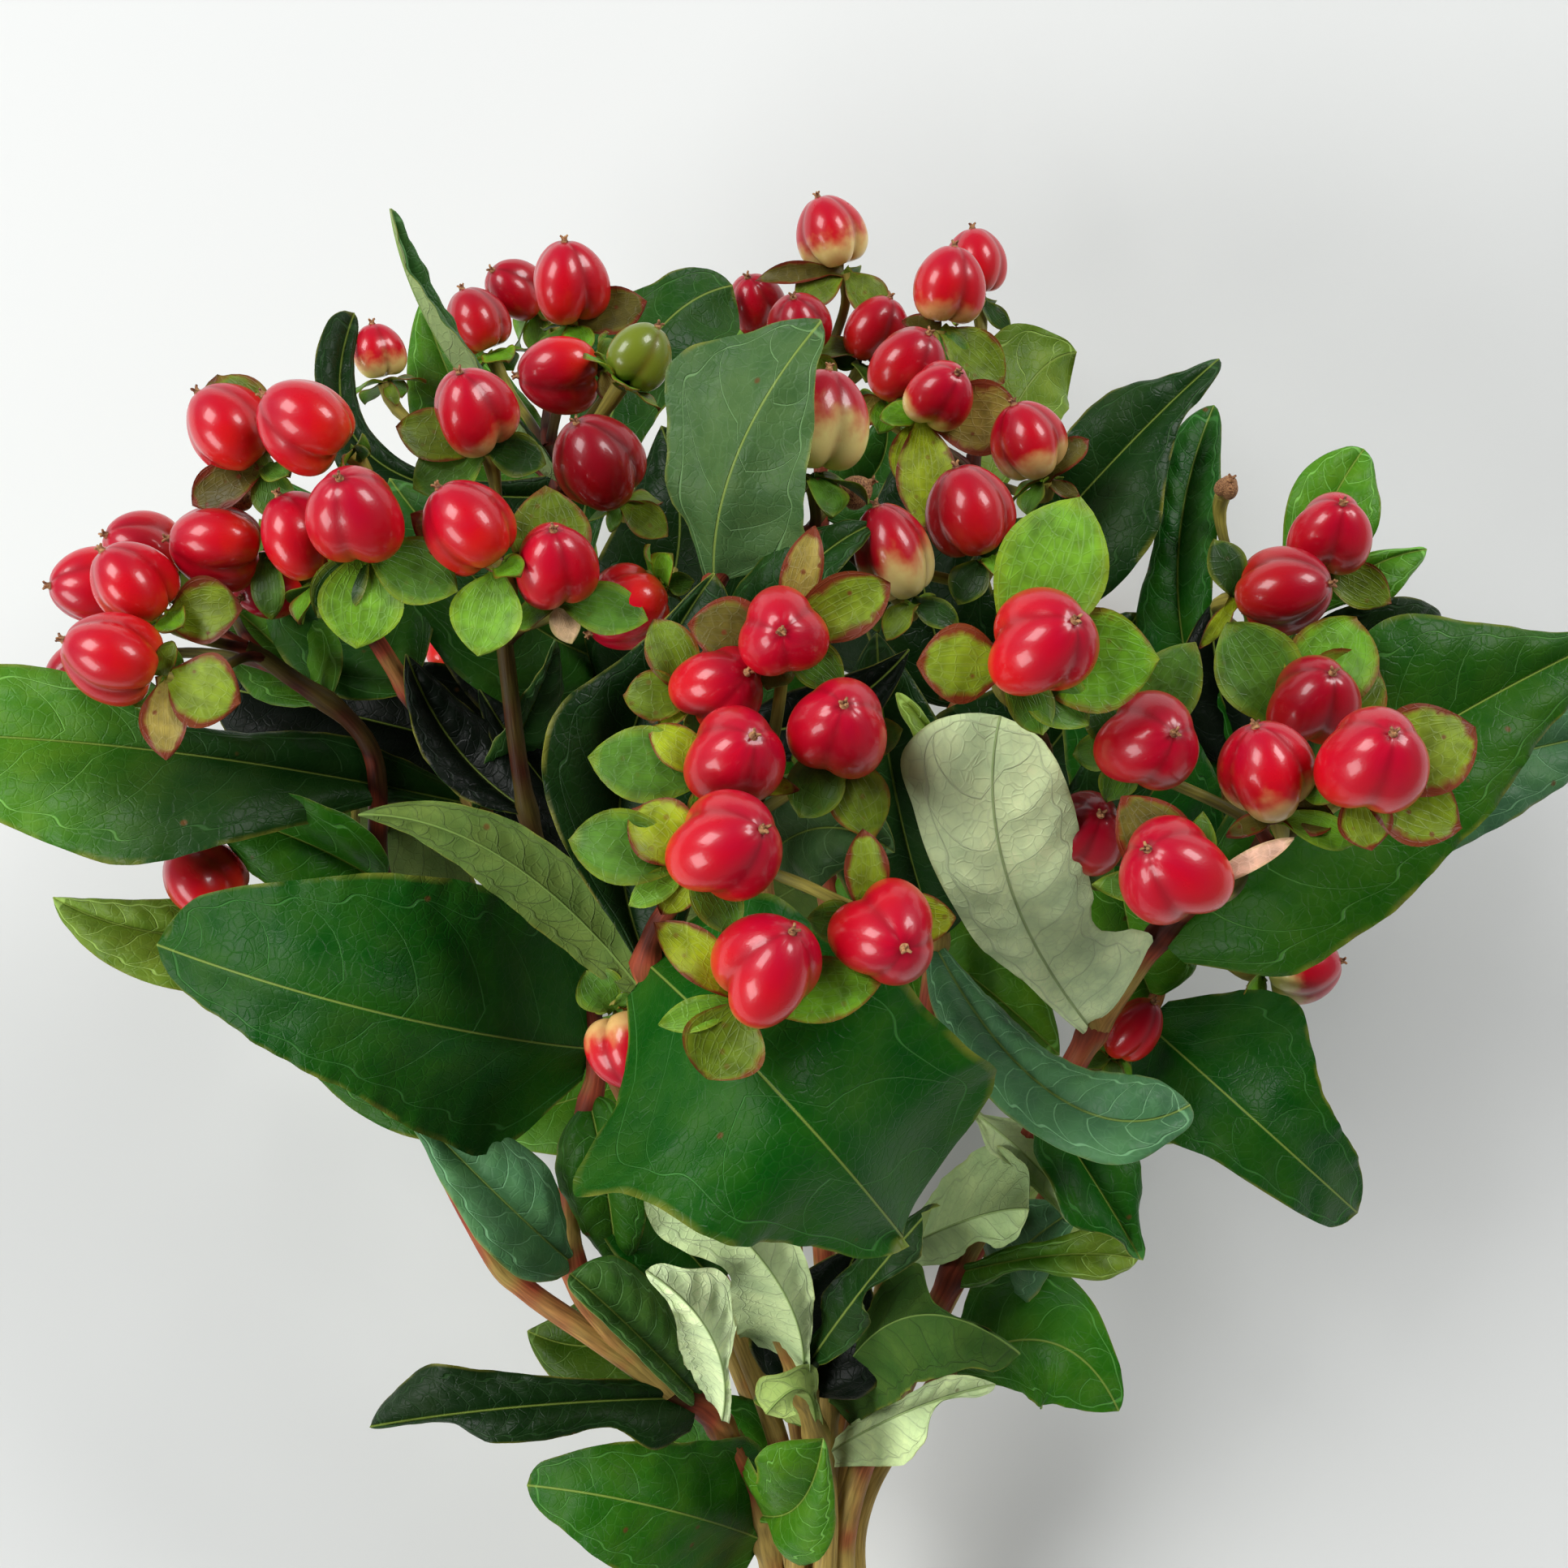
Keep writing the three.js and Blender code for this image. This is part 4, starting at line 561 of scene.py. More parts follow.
def addTwig(surface, start, heading, pose):  # the thin stalk of one berry
    base, axis = pose["base"], pose["axis"]
    chord = base - start
    lead = unitOf(unitOf(chord) + heading)
    reach = np.linalg.norm(chord) * twig["reach"]
    corners = [start, start + lead * reach, base - axis * (1 + reach), base - axis * twig["sunkMm"]]
    t = np.linspace(0, 1, twig["rows"])[:, None]
    line = ((1 - t) ** 3 * corners[0] + 3 * (1 - t) ** 2 * t * corners[1]
            + 3 * (1 - t) * t ** 2 * corners[2] + t ** 3 * corners[3])
    swell = twig["seatSwell"] * smooth(0.7, 1, t[:, 0]) + twig["rootSwell"] * smooth(0.25, 0, t[:, 0])
    addTube(surface, line, twig["radius"] * (1 + swell), twig, 1, start[0],
            ripe=twig["ripeAndShadeFoot"] + twig["ripening"] * t)


# A berry: sizes in mm, turns in degrees, and the rest in shares of the berry.
berryCut = dict(
    length=14.6, width=13.4, rows=38, columns=66, mostLean=0.97, usualPale=0.06, darkShare=0.6,
    # its outline, its three lobes and what dents and wrinkles it
    fullest=1.05, bellyAt=-0.16, footCurve=(2.3, 0.5), tipCurve=(2.05, 0.6),
    lobeOff=(0.23, 0.32), footLobe=0.2, grooveTurn=9, creaseTurn=4, uneven=0.05,
    footDent=0.24, footDentWide=0.45, tipDent=0.06, tipDentWide=0.22, wrinkle=0.07, wrinkles=9,
)
styleCut = dict(length=1.0, foot=0.3, taper=0.12, spread=0.5, rows=7, columns=6, stubRises=(-0.6, 0.1, 0.5),
                stub=(0.7, 0.65, 0.4), stubColumns=9)


def berryPose(berry):  # the berry's middle, its axis from foot to tip, and its half sizes
    centre = place(berry["at"])
    half = berryCut["length"] * berry["size"] / 2
    ahead = place((*berry["tip"], berry["at"][2])) - centre
    share = min(berryCut["mostLean"], np.linalg.norm(ahead) / half)
    depth = math.sqrt(1 - share ** 2) * (-1 if berry.get("under") else 1)
    axis = unitOf(unitOf(ahead) * share + unitOf(eye - centre) * depth)
    return dict(centre=centre, axis=axis, half=half, base=centre - axis * half,
                radius=berryCut["width"] * berry["size"] * berry.get("slim", 1) / 2)


def addBerry(surface, berry, pose):
    cut = berryCut
    centre, axis, half = pose["centre"], pose["axis"], pose["half"]
    a, b = squareTo(axis)
    x = -np.cos(np.linspace(0, math.pi, cut["rows"] + 2))[1:-1, None]  # -1 at the foot, 1 at the tip
    degrees = (np.arange(cut["columns"]) * 360 / cut["columns"])[None]
    off = np.abs(degrees % 120 - 60)  # 0 on a lobe, 60 in a groove
    footWide, tipWide = ((1 - np.clip((x - cut["bellyAt"]) / (end - cut["bellyAt"]), 0, 1) ** power) ** root
                         for end, (power, root) in ((-1, cut["footCurve"]), (1, cut["tipCurve"])))
    wide = np.where(x < cut["bellyAt"], footWide, tipWide)
    dip = np.exp(-((60 - off) / cut["grooveTurn"]) ** 2)
    # three round lobes whose middles stand off the axis, more so at the foot
    least, most = cut["lobeOff"]
    lobeOff = least + (most - least) * chance(centre, 11) + cut["footLobe"] * smooth(0.3, -0.9, x)
    bent = np.radians(60 - np.sqrt((60 - off) ** 2 + cut["creaseTurn"] ** 2))
    lobe = lobeOff * np.cos(bent) + np.sqrt((1 - lobeOff) ** 2 - (lobeOff * np.sin(bent)) ** 2)
    sway = [chance(centre, k) - 0.5 for k in range(6)]
    turn = np.radians(degrees)
    lobe = lobe * (1 + cut["uneven"] * sway[0] * np.cos(turn + 6 * sway[1])
                   + cut["uneven"] * sway[2] * np.cos(2 * turn + 6 * sway[3]) * x)
    star = 0.5 + 0.5 * np.sin(cut["wrinkles"] * turn + 9 * sway[4] + np.sin(2 * turn))
    ripple = 1 - cut["wrinkle"] * star ** 2 * smooth(0.82, 0.93, x)
    reach = pose["radius"] * cut["fullest"] * wide * lobe * ripple
    slack = wide * (0.4 + 0.6 * lobe)
    along = x + cut["footDent"] * np.exp(-(slack / cut["footDentWide"]) ** 2) * (x < 0) * (1 + dip)
    along = along - cut["tipDent"] * np.exp(-(slack / cut["tipDentWide"]) ** 2) * (x > 0)
    angle = np.radians(degrees + berry["turn"])
    rings = (centre + (along * half)[..., None] * axis
             + (reach * np.cos(angle))[..., None] * a + (reach * np.sin(angle))[..., None] * b)
    kind = berry.get("kind")
    # groove marks painted shade in the grooves and the tip's dent; dark is painted shade for a berry in
    # shadow
    surface.skin(rings, slots=1 if kind == "withered" else 0, along=(x + 1) / 2, bud=kind == "bud",
                 skin=join(np.cos(turn) * 6 + 90 * sway[5], np.sin(turn) * 6, x * 7),
                 groove=np.maximum(dip * 0.8, smooth(0.93, 1, x)),
                 pale=berry.get("pale", cut["usualPale"]), dark=berry.get("dark", 0) * cut["darkShare"])
    addStyles(surface, centre + axis * half * (1 - cut["tipDent"]), axis, chance(centre, 9))


def addStyles(surface, top, axis, draw):  # the dried remains of the flower on the berry's tip
    cut = styleCut
    a, b = squareTo(axis)
    rises = np.array(cut["stubRises"])[:, None]
    tubes = [tubeRings(top + axis * rises, cut["stub"], cut["stubColumns"])]
    t = np.linspace(0, 1, cut["rows"])[:, None]
    for i in range(3):
        out = spoke(a, b, 120 * i + 360 * draw)
        rise = 0.3 + cut["length"] * t * (1 - 0.3 * t)
        line = top + axis * rise + out * (0.25 + cut["spread"] * t ** 2)
        tubes.append(tubeRings(line, cut["foot"] - cut["taper"] * t[:, 0], cut["columns"]))
    for rings in tubes:
        surface.skin(rings, slots=1, skin=rings)


# A sepal: sizes in mm, and belly as half its width in shares of its length.
sepalCut = dict(
    length=9.8, spareMm=7.5, belly=0.36, thick=0.34, thinning=0.6, root=1.3, rows=17, columns=11,
    # its cup, the waves of its edge, and how it stands, in degrees
    cup=0.3, wave=0.4, waves=8, turn=0, spread=112, spreadVaries=24, curl=16, arch=20,
    # how one whose tip is on the plan meets it, and how far apart others stay, in degrees
    tipRise=1.2, faceLean=0.35, slackness=1.03, apart=50,
    others=("fresh", "leaf", "olive", "leaf", "fresh"),
)

# The colour of a sepal, and how strongly its rim has burnt red-brown.
sepalLooks = dict(
    fresh=("#5c9016", 0.4), bright=("#64941f", 0.1), leaf=("#46701a", 0.15), lime=("#8a9c12", 0.6),
    olive=("#5c7212", 0.45), umber=("#57501a", 0.9), blush=("#748a18", 1.0), rose=("#8c7c34", 1.0),
    dark=("#1f400c", 0.1), dry=("#cfae84", 0.0), pink=("#e0b498", 0.1),
)


def addSepal(surface, base, out, up, degrees, long, look, belly, draw):  # degrees: its slope from out to up
    cut = sepalCut
    t = np.linspace(0, 1, cut["rows"])
    slope = np.radians(degrees)[:, None]
    heads = np.cos(slope) * out + np.sin(slope) * up
    faces = np.cos(slope) * up - np.sin(slope) * out
    steps = np.vstack([np.zeros((1, 3)), (heads[1:] + heads[:-1]) / 2]) * long / (cut["rows"] - 1)
    line = base + np.cumsum(steps, axis=0)
    side = np.cross(faces, heads)
    half = long * belly * np.sin(math.pi * t ** 1.2) ** 0.8
    half = np.maximum(half, cut["root"] * (1 - t) ** 2 + 0.12)
    s = np.linspace(-1, 1, cut["columns"])
    wave = cut["wave"] * np.sin(cut["waves"] * t[:, None] + 6 * draw + 2 * s) * s ** 2
    lift = cut["cup"] * half[:, None] * s ** 2 * (draw + 0.2) + wave
    across = half[:, None] * s
    sheet = line[:, None] + across[..., None] * side[:, None] + lift[..., None] * faces[:, None]
    off = faces[:, None] * (cut["thick"] / 2 * (1 - cut["thinning"] * s ** 4))[None, :, None]
    rings = np.concatenate([sheet + off, (sheet - off)[:, ::-1]], axis=1)
    ends = np.concatenate([s, s[::-1]])[None]
    colour, blush = sepalLooks[look]
    surface.skin(rings, fan=ends, blush=blush, tone=np.array(toLinear(colour)[:3]),
                 rim=np.maximum(np.abs(ends) ** 1.5, smooth(0.75, 1, t)[:, None]),
                 skin=join((t * long)[:, None], ends * half[:, None], 90 * draw))


def addSepals(surface, berry, pose):  # those with a tip on the plan first, then the rest of the five
    cut = {**sepalCut, **berry.get("sepals", {})}
    axis, base = pose["axis"], pose["base"]
    a, b = squareTo(axis)
    t = np.linspace(0, 1, cut["rows"])
    taken = []
    for across, down, look, *broad in berry["tips"]:
        end = place((across, down, base[2] + cut["tipRise"]))
        out = unitOf(end - base)
        sight = unitOf(eye - base) + cut["faceLean"] * axis
        face = unitOf(sight - out * np.dot(sight, out))
        draw = chance(end, 5)
        slope = cut["arch"] * (1 - 2 * t) * (0.5 + draw)
        long = np.linalg.norm(end - base) * cut["slackness"]
        addSepal(surface, base, out, face, slope, long, look, broad[0] if broad else cut["belly"], draw)
        taken.append(math.degrees(math.atan2(np.dot(out, b), np.dot(out, a))))
    for i in range(5):
        degrees = cut["turn"] + 36 + 72 * i
        if any(abs((degrees - other + 180) % 360 - 180) < cut["apart"] for other in taken):
            continue
        spread = cut["spread"] + cut["spreadVaries"] * (chance(base, i) - 0.5)
        slope = 90 - spread - cut["curl"] * (2 * t - 1) * (0.6 + chance(base, i + 14))
        long = (cut["spareMm"] if taken else cut["length"]) * (0.88 + 0.24 * chance(base, i + 7))
        look = cut["others"][int(5 * chance(base, i + 35))]
        out = spoke(a, b, degrees)
        addSepal(surface, base, out, axis, slope, long, look, cut["belly"], chance(base, i + 21))


# A blade: sizes in mm, and belly as the place of its greatest width along it.
leafCut = dict(
    thick=0.4, thinning=0.7, root=1.3, belly=0.39, bluntness=0.8, roundTip=0.06, bend=4, crown=0.12,
    rowMm=1.05, rows=(26, 92), columns=19, ripple=17, edgeRipple=0.3, edgeMm=11, fineEdgeMm=4.73,
    # the lateral veins, how much it bulges between them, and where its second look begins and ends
    veinGap=0.3, leastGap=4.5, veinStagger=0.25, veinLean=0.25, veinHook=1.0, quilt=0.6,
    endLookFrom=(0.42, 0.7),
)

# The colour of a blade's upper side and of its underside. Night and shade are near black: painted
# shade for blades deep inside the bunch. The dark underside of dim is painted shade as well.
leafLooks = dict(
    night=("#071107", "#3c5a24"), shade=("#0e2707", "#546536"), dark=("#16360d", "#6f844b"),
    deep=("#174c0a", "#7f9454"), mid=("#255409", "#8ba05a"), fresh=("#2b620e", "#8fa55c"),
    bright=("#467a16", "#97a85c"), olive=("#344c0c", "#7f8a50"), lime=("#6a8627", "#a5b468"),
    # the upper colours of grey and mist are a painted sheen: the grey-green of wax that catches the light
    mist=("#2d5622", "#8a9f68"), slate=("#3f5d31", "#8a9f68"), grey=("#47744a", "#93a674"),
    dim=("#244f12", "#48582c"), moss=("#2a5a1c", "#5f7636"), sage=("#3a6224", "#acc68a"),
    # milky is a brighter copy of pale: painted light for undersides that lie in shade
    pale=("#4c6c28", "#c6dba0"), milky=("#4c6c28", "#dbeeb6"),
)


def leafHalf(leaf, t, edge):  # half widths in mm at shares of the length, on one side of the midrib
    cut = leafCut
    if edge in leaf:
        ending = np.clip((1 - t) / cut["roundTip"], 0, 1)
        half = smoothBlend(leaf[edge], t) * np.sqrt(ending * (2 - ending))  # a round tip
    else:
        skew = math.log(0.5) / math.log(cut["belly"])
        half = leaf["width"] / 2 * np.sin(math.pi * t ** skew) ** cut["bluntness"]
    half = half * (1 + leaf.get("lean", 0) * (-1 if edge == "left" else 1))
    return np.maximum(half, cut["root"] * (1 - t) ** 1.5 + 0.15)[:, None]


def addLeaf(surface, leaf, root):
    cut = leafCut
    via, tip = place(leaf["via"]), place(leaf["tip"])
    bend = 2 * via - 0.5 * root - 0.5 * tip
    length = np.linalg.norm(via - root) + np.linalg.norm(tip - via)
    rows = int(np.clip(length / cut["rowMm"], *cut["rows"]))
    t = 1 - (1 - np.linspace(0, 1, rows)) ** 1.15  # closer together at the tip
    line = (1 - t)[:, None] ** 2 * root + (2 * t * (1 - t))[:, None] * bend + (t ** 2)[:, None] * tip
    ahead = unitOf((1 - t)[:, None] * (bend - root) + t[:, None] * (tip - bend))
    s = np.linspace(-1, 1, cut["columns"])  # -1 at the left edge, 0 on the midrib, 1 at the right edge
    s = np.sign(s) * np.abs(s) ** 0.85
    half = np.where(s < 0, leafHalf(leaf, t, "left"), leafHalf(leaf, t, "right"))
    seed = chance(via, 3)
    run = runLength(line)
    gap = max(cut["leastGap"], cut["veinGap"] * leaf["width"])
    rings, marks = [], []
    for i, share in enumerate(t):
        sight = unitOf(eye - line[i])
        flat = unitOf(sight - ahead[i] * np.dot(sight, ahead[i]))
        face = turned(flat, ahead[i], blend(leaf["roll"], share))
        side = np.cross(ahead[i], face)
        fold = math.radians(blend(leaf["fold"], share) + cut["bend"])
        wide = np.abs(s) * half[i]
        phase = (run[i] - wide * (cut["veinLean"] + cut["veinHook"] * s ** 2)) / gap + seed
        phase = phase + cut["veinStagger"] * np.sign(s) * smooth(0, 0.15, np.abs(s))
        gate = smooth(0.02, 0.15, share) * smooth(1.0, 0.85, share)
        quilt = cut["quilt"] * np.abs(np.sin(math.pi * phase)) * np.sin(math.pi * np.abs(s)) * gate
        rough = cut["edgeRipple"] * s ** 4 * gate * (
            np.sin(2 * math.pi * run[i] / cut["edgeMm"] + 20 * seed + 2 * np.sign(s))
            + 0.6 * np.sin(2 * math.pi * run[i] / cut["fineEdgeMm"] + 50 * seed - np.sign(s)))
        wave = np.sign(s) * s ** 2 * leaf.get("wave", 0) * math.sin(cut["ripple"] * share + leaf["width"])
        belly = cut["crown"] * half[i] * np.sin(math.pi * np.abs(s)) * (1 if fold > 0 else -1)
        lift = wide * math.sin(fold) + belly + quilt + rough + wave
        edge = line[i] + (np.sign(s) * wide * math.cos(fold))[:, None] * side + lift[:, None] * face
        skinFace = unitOf(face - (np.sign(s) * math.tan(fold))[:, None] * side * np.abs(s)[:, None] ** 0.5)
        off = skinFace * (cut["thick"] / 2 * (1 - cut["thinning"] * s ** 6))[:, None]
        rings.append(np.vstack([edge + off, (edge - off)[::-1]]))
        marks.append(join(run[i], np.sign(s) * wide, phase))
    marks = np.array(marks)
    marks = np.concatenate([marks, marks[:, ::-1]], axis=1)
    isUnder = (np.arange(2 * len(s)) >= len(s)).astype(int)
    start, end = (np.array([toLinear(code)[:3] for code in leafLooks[look]])[isUnder]
                  for look in (leaf["look"], leaf.get("end", leaf["look"])))
    share = smooth(*cut["endLookFrom"], t)[:, None, None]
    ends = np.abs(np.concatenate([s, s[::-1]]))
    surface.skin(np.array(rings), slots=isUnder, skin=join(marks[..., 0], marks[..., 1], 90 * seed),
                 tone=(start * (1 - share) + end * share) * (0.85 + 0.3 * chance(via, 5)),
                 rim=np.maximum(ends, smooth(0.86, 1.0, t)[:, None] * 0.98), veinPhase=marks[..., 2],
                 veinSpan=gap, reach=np.concatenate([half, half[:, ::-1]], axis=1))


# A leaf: its look, the plan spots of its foot, bend and tip, its width in mm, and the roll about its
# midrib and the fold of its halves along it, in degrees. Own half widths stand in left and right.
def leafAt(look, base, via, tip, width, roll=(0, 0), fold=(10, 10), **more):
    return dict(look=look, base=base, via=via, tip=tip, width=width, roll=roll, fold=fold, **more)


# A berry: the plan spots of its middle and its tip, its turn in degrees and its size. Then come the
# plan spots of the sepal tips that show, each with its look and how broad it is for its length. A dark
# share is painted shade for a berry that lies in shadow.
def berryAt(at, tip, turn, size, *tips, **more):
    return dict(at=at, tip=tip, turn=turn, size=size, tips=tips, **more)


stems = {}  # one dictionary each: its place in the band, its line, forks, leaves and berries
stems["leftFork"] = dict(
    seat=("ring", 170),
    trunk=((938, 1876, 58), (880, 1745, 70), (826, 1712, 76)),
    forks=(
        ((745, 1630, 84), (708, 1568, 87), (703, 1440, 87), (736, 1305, 89), (702, 1150, 92),
         (650, 1000, 104), (618, 765, 112)),
        ((740, 1652, 82), (650, 1590, 81), (600, 1535, 82), (505, 1330, 86), (468, 1085, 94),
         (455, 920, 100), (345, 825, 106), (302, 798, 109)),
    ),
    leaves=(
        leafAt("fresh", (944, 1900, 56), (806, 1856, 80), (650, 1830, 78), 28, roll=(-15, -10),
               fold=(-8, -4), left=(6, 12.4, 13.1, 13.3, 12.5, 11.1, 9, 5.9, 2.7),
               right=(6, 12.4, 15.9, 13.4, 11.1, 10, 8.2, 5.7, 3.2)),
        leafAt("bright", (930, 1872, 60), (985, 1852, 80), (1014, 1772, 88), 14, roll=(10, 10),
               fold=(10, 5), left=(6, 16.5, 7.2, 7.9, 8.4, 9.2, 10.2, 11.3, 8.4),
               right=(1.3, 0.6, 8, 9.5, 8.2, 5.8, 3.8, 2, 0.6)),
        leafAt("shade", (850, 1722, 74), (650, 1732, 86), (457, 1757, 78), 14, roll=(-12, -10),
               fold=(10, 8), wave=0.8, left=(6, 8.6, 4.5, 5.6, 5.9, 5.1, 1.6, 0.8, 0.6),
               right=(2.2, 3.1, 3.8, 4.6, 5.7, 7.2, 9.5, 6, 1.8)),
        leafAt("milky", (928, 1765, 72), (880, 1655, 100), (796, 1566, 106), 13, roll=(170, 164),
               fold=(12, 16), left=(1.3, 0.6, 0.6, 1.3, 4.2, 7, 7.3, 3.8, 2),
               right=(1.4, 4.8, 7.1, 7.1, 6.3, 4.7, 3.1, 2, 1.2)),
        leafAt("sage", (872, 1735, 70), (785, 1645, 88), (702, 1570, 92), 15, roll=(10, 20),
               left=(1.3, 2.5, 2.8, 2.9, 2.8, 2.7, 2.8, 2.7, 1.8),
               right=(1.3, 2.1, 4.4, 6.4, 7.6, 8.3, 8.1, 6.9, 2.4)),
        leafAt("grey", (704, 1568, 89), (622, 1482, 98), (508, 1368, 94), 20, roll=(12, 10), fold=(12, 10),
               left=(1.3, 5.2, 7.9, 8.5, 8.1, 6.6, 5.1, 3, 1.8),
               right=(1.3, 2.3, 5.1, 7.9, 9.1, 8.7, 7.6, 5.4, 3.2)),
        leafAt("deep", (722, 1306, 97), (478, 1250, 120), (194, 1164, 116), 41, roll=(-14, -20),
               fold=(-14, -18), left=(6, 20.9, 20.4, 18.3, 15.2, 13.6, 11.4, 8.3, 4.7),
               right=(6, 20.9, 22.4, 23, 22.2, 20.2, 16.5, 12.6, 7)),
        leafAt("mid", (700, 1360, 95), (748, 1460, 92), (762, 1572, 80), 17, roll=(30, 20), fold=(10, 5)),
        leafAt("fresh", (470, 1080, 94), (360, 1030, 101), (238, 992, 96), 20, roll=(-30, -30),
               fold=(16, 12)),
        leafAt("bright", (405, 872, 103), (345, 800, 94), (262, 728, 90), 18, fold=(8, 8)),
        leafAt("night", (650, 1000, 104), (560, 920, 100), (500, 806, 104), 14, roll=(30, 20),
               fold=(15, 10)),
    ),
    heads=((
        berryAt((583, 506, 118), (568, 464), 10, 0.98, (490, 528, "olive", 0.3), (512, 602, "leaf"),
                (672, 572, "dark"), pale=0.35),
        berryAt((577, 649, 131), (541, 602), 40, 1.02, (590, 806, "bright", 0.4), (508, 636, "rose", 0.25)),
        berryAt((684, 696, 127), (682, 655), 0, 0.95, (672, 602, "olive"), (704, 792, "dry", 0.32),
                (797, 764, "leaf", 0.28), pale=0.15),
        berryAt((772, 750, 117), (724, 782), 20, 1.0, (856, 716, "leaf")),
    ), (
        berryAt((115, 724, 110), (69, 722), 0, 0.95, (94, 744, "blush", 0.42)),
        berryAt((164, 719, 122), (129, 682), 30, 0.95, (298, 750, "blush", 0.42)),
        berryAt((177, 676, 96), (138, 662), 20, 0.95),
        berryAt((139, 810, 131), (83, 790), 35, 1.04, (294, 866, "blush", 0.46), (205, 934, "rose", 0.28),
                (214, 790, "olive", 0.3)),
        berryAt((104, 836, 104), (66, 850), 0, 0.9, sepals=dict(spread=95)),
    )),
)
stems["leftUpper"] = dict(
    seat=("ring", 130),
    trunk=((976, 1850, 56), (900, 1620, 68), (720, 1250, 80), (575, 975, 89), (480, 815, 102),
           (408, 710, 111)),
    leaves=(
        # painted shade: this blade is dark at its foot, which lies in shade, and turns to its brighter lit
        # look towards the tip
        leafAt("dark", (600, 985, 90), (190, 925, 108), (-170, 905, 106), 36, roll=(24, 20, 8, 0),
               fold=(14, 10, 4), end="bright", wave=1.4,
               left=(2.5, 2.4, 9.7, 16.7, 20.5, 17.6, 12.9, 8.7, 3.6),
               right=(2.7, 5.1, 6.9, 5.4, 5.1, 10.6, 12, 8.8, 3.8)),
        leafAt("mist", (620, 985, 88), (645, 890, 100), (684, 788, 112), 13, roll=(40, 60)),
        leafAt("dim", (500, 850, 99), (420, 735, 91), (340, 590, 87), 28, fold=(8, 8)),
        leafAt("deep", (880, 1580, 69), (800, 1500, 82), (700, 1440, 82), 20, roll=(0, 10)),
    ),
    heads=((
        berryAt((285, 528, 119), (241, 481), 20, 1.04, (270, 462, "olive"), (238, 622, "umber", 0.28),
                (346, 642, "leaf", 0.36)),
        berryAt((377, 522, 129), (326, 487), 50, 1.04, (456, 560, "dark", 0.35)),
        berryAt((370, 661, 121), (344, 612), 10, 1.0, sepals=dict(length=8)),
        berryAt((436, 634, 136), (420, 594), 30, 1.05, (440, 797, "bright", 0.42), (562, 728, "leaf", 0.34),
                (392, 760, "dark", 0.3)),
        berryAt((268, 672, 117), (211, 664), 45, 1.04, (336, 762, "leaf", 0.26)),
        berryAt((328, 722, 104), (300, 735), 0, 0.85, sepals=dict(spread=100, turn=10)),
        berryAt((292, 610, 112), (270, 606), 0, 0.42, kind="withered", root=(408, 710, 111)),
    ),),
)
stems["topLeft"] = dict(
    seat=("core", 210),
    trunk=((998, 1850, 47), (930, 1500, 60), (820, 1100, 70), (730, 780, 76), (675, 550, 80)),
    leaves=(
        leafAt("mist", (656, 600, 80), (546, 430, 92), (481, 257, 100), 23, roll=(62, 68), fold=(38, 40),
               left=(6, 10.2, 11.1, 11.5, 10.1, 6.5, 2.1, 0.9, 0.6),
               right=(1.8, 1.9, 2.4, 3.1, 4, 4.1, 3.5, 2.6, 1.4)),
        leafAt("dim", (712, 700, 78), (782, 450, 72), (902, 352, 58), 32, roll=(-16, -20), fold=(-12, -10),
               left=(2.4, 4, 6.2, 8.5, 9.6, 11.5, 8, 6.6, 3.1),
               right=(2.6, 3.9, 5.9, 7.9, 9.2, 10.8, 10.7, 9.9, 7.3)),
        leafAt("shade", (665, 620, 79), (455, 560, 76), (436, 386, 64), 17, roll=(0, 10), fold=(12, 10),
               left=(5.1, 8.4, 10.5, 9.3, 6.4, 4.5, 4.6, 4.9, 3.6),
               right=(4.2, 2.7, 2.2, 2.5, 3.1, 3.1, 3, 2.3, 1.7)),
        leafAt("dim", (740, 815, 76), (610, 735, 91), (480, 590, 88), 30, roll=(0, 10), fold=(8, 8)),
        leafAt("night", (790, 1000, 71), (600, 925, 71), (268, 846, 70), 32, roll=(0, 10), fold=(8, 8),
               left=(3, 9, 13, 15, 15.5, 15, 14, 12, 8), right=(3, 8, 12, 14, 14.5, 13.5, 11, 8, 4)),
        leafAt("bright", (880, 1330, 66), (740, 1345, 63), (580, 1400, 60), 27, roll=(0, 10), fold=(8, 8)),
        leafAt("bright", (724, 760, 76), (592, 545, 52), (520, 370, 46), 26, roll=(10, 10)),
        leafAt("shade", (748, 850, 75), (832, 700, 88), (815, 525, 88), 28),
        leafAt("night", (760, 900, 74), (640, 800, 74), (490, 690, 72), 27, fold=(8, 8)),
        leafAt("night", (820, 1100, 70), (700, 1000, 92), (590, 850, 94), 20, roll=(20, 40), fold=(14, 10)),
    ),
    heads=((
        berryAt((634, 357, 54), (610, 336), 0, 0.86, dark=0.5),
        berryAt((700, 349, 87), (696, 302), 10, 1.03, (707, 336, "lime", 0.2), (795, 372, "umber", 0.3)),
        berryAt((587, 396, 62), (568, 353), 30, 0.9, dark=0.5),
        berryAt((689, 459, 98), (631, 463), 45, 1.0, (760, 500, "rose", 0.25)),
        berryAt((466, 434, 62), (458, 398), 0, 0.75, (490, 500, "olive", 0.25), pale=0.5),
        berryAt((737, 569, 113), (712, 524), 20, 1.1, (822, 660, "olive", 0.3), (752, 655, "leaf", 0.25),
                dark=0.9),
        berryAt((788, 438, 108), (818, 390), 0, 0.78, kind="bud", sepals=dict(spread=84, length=8)),
    ),),
)
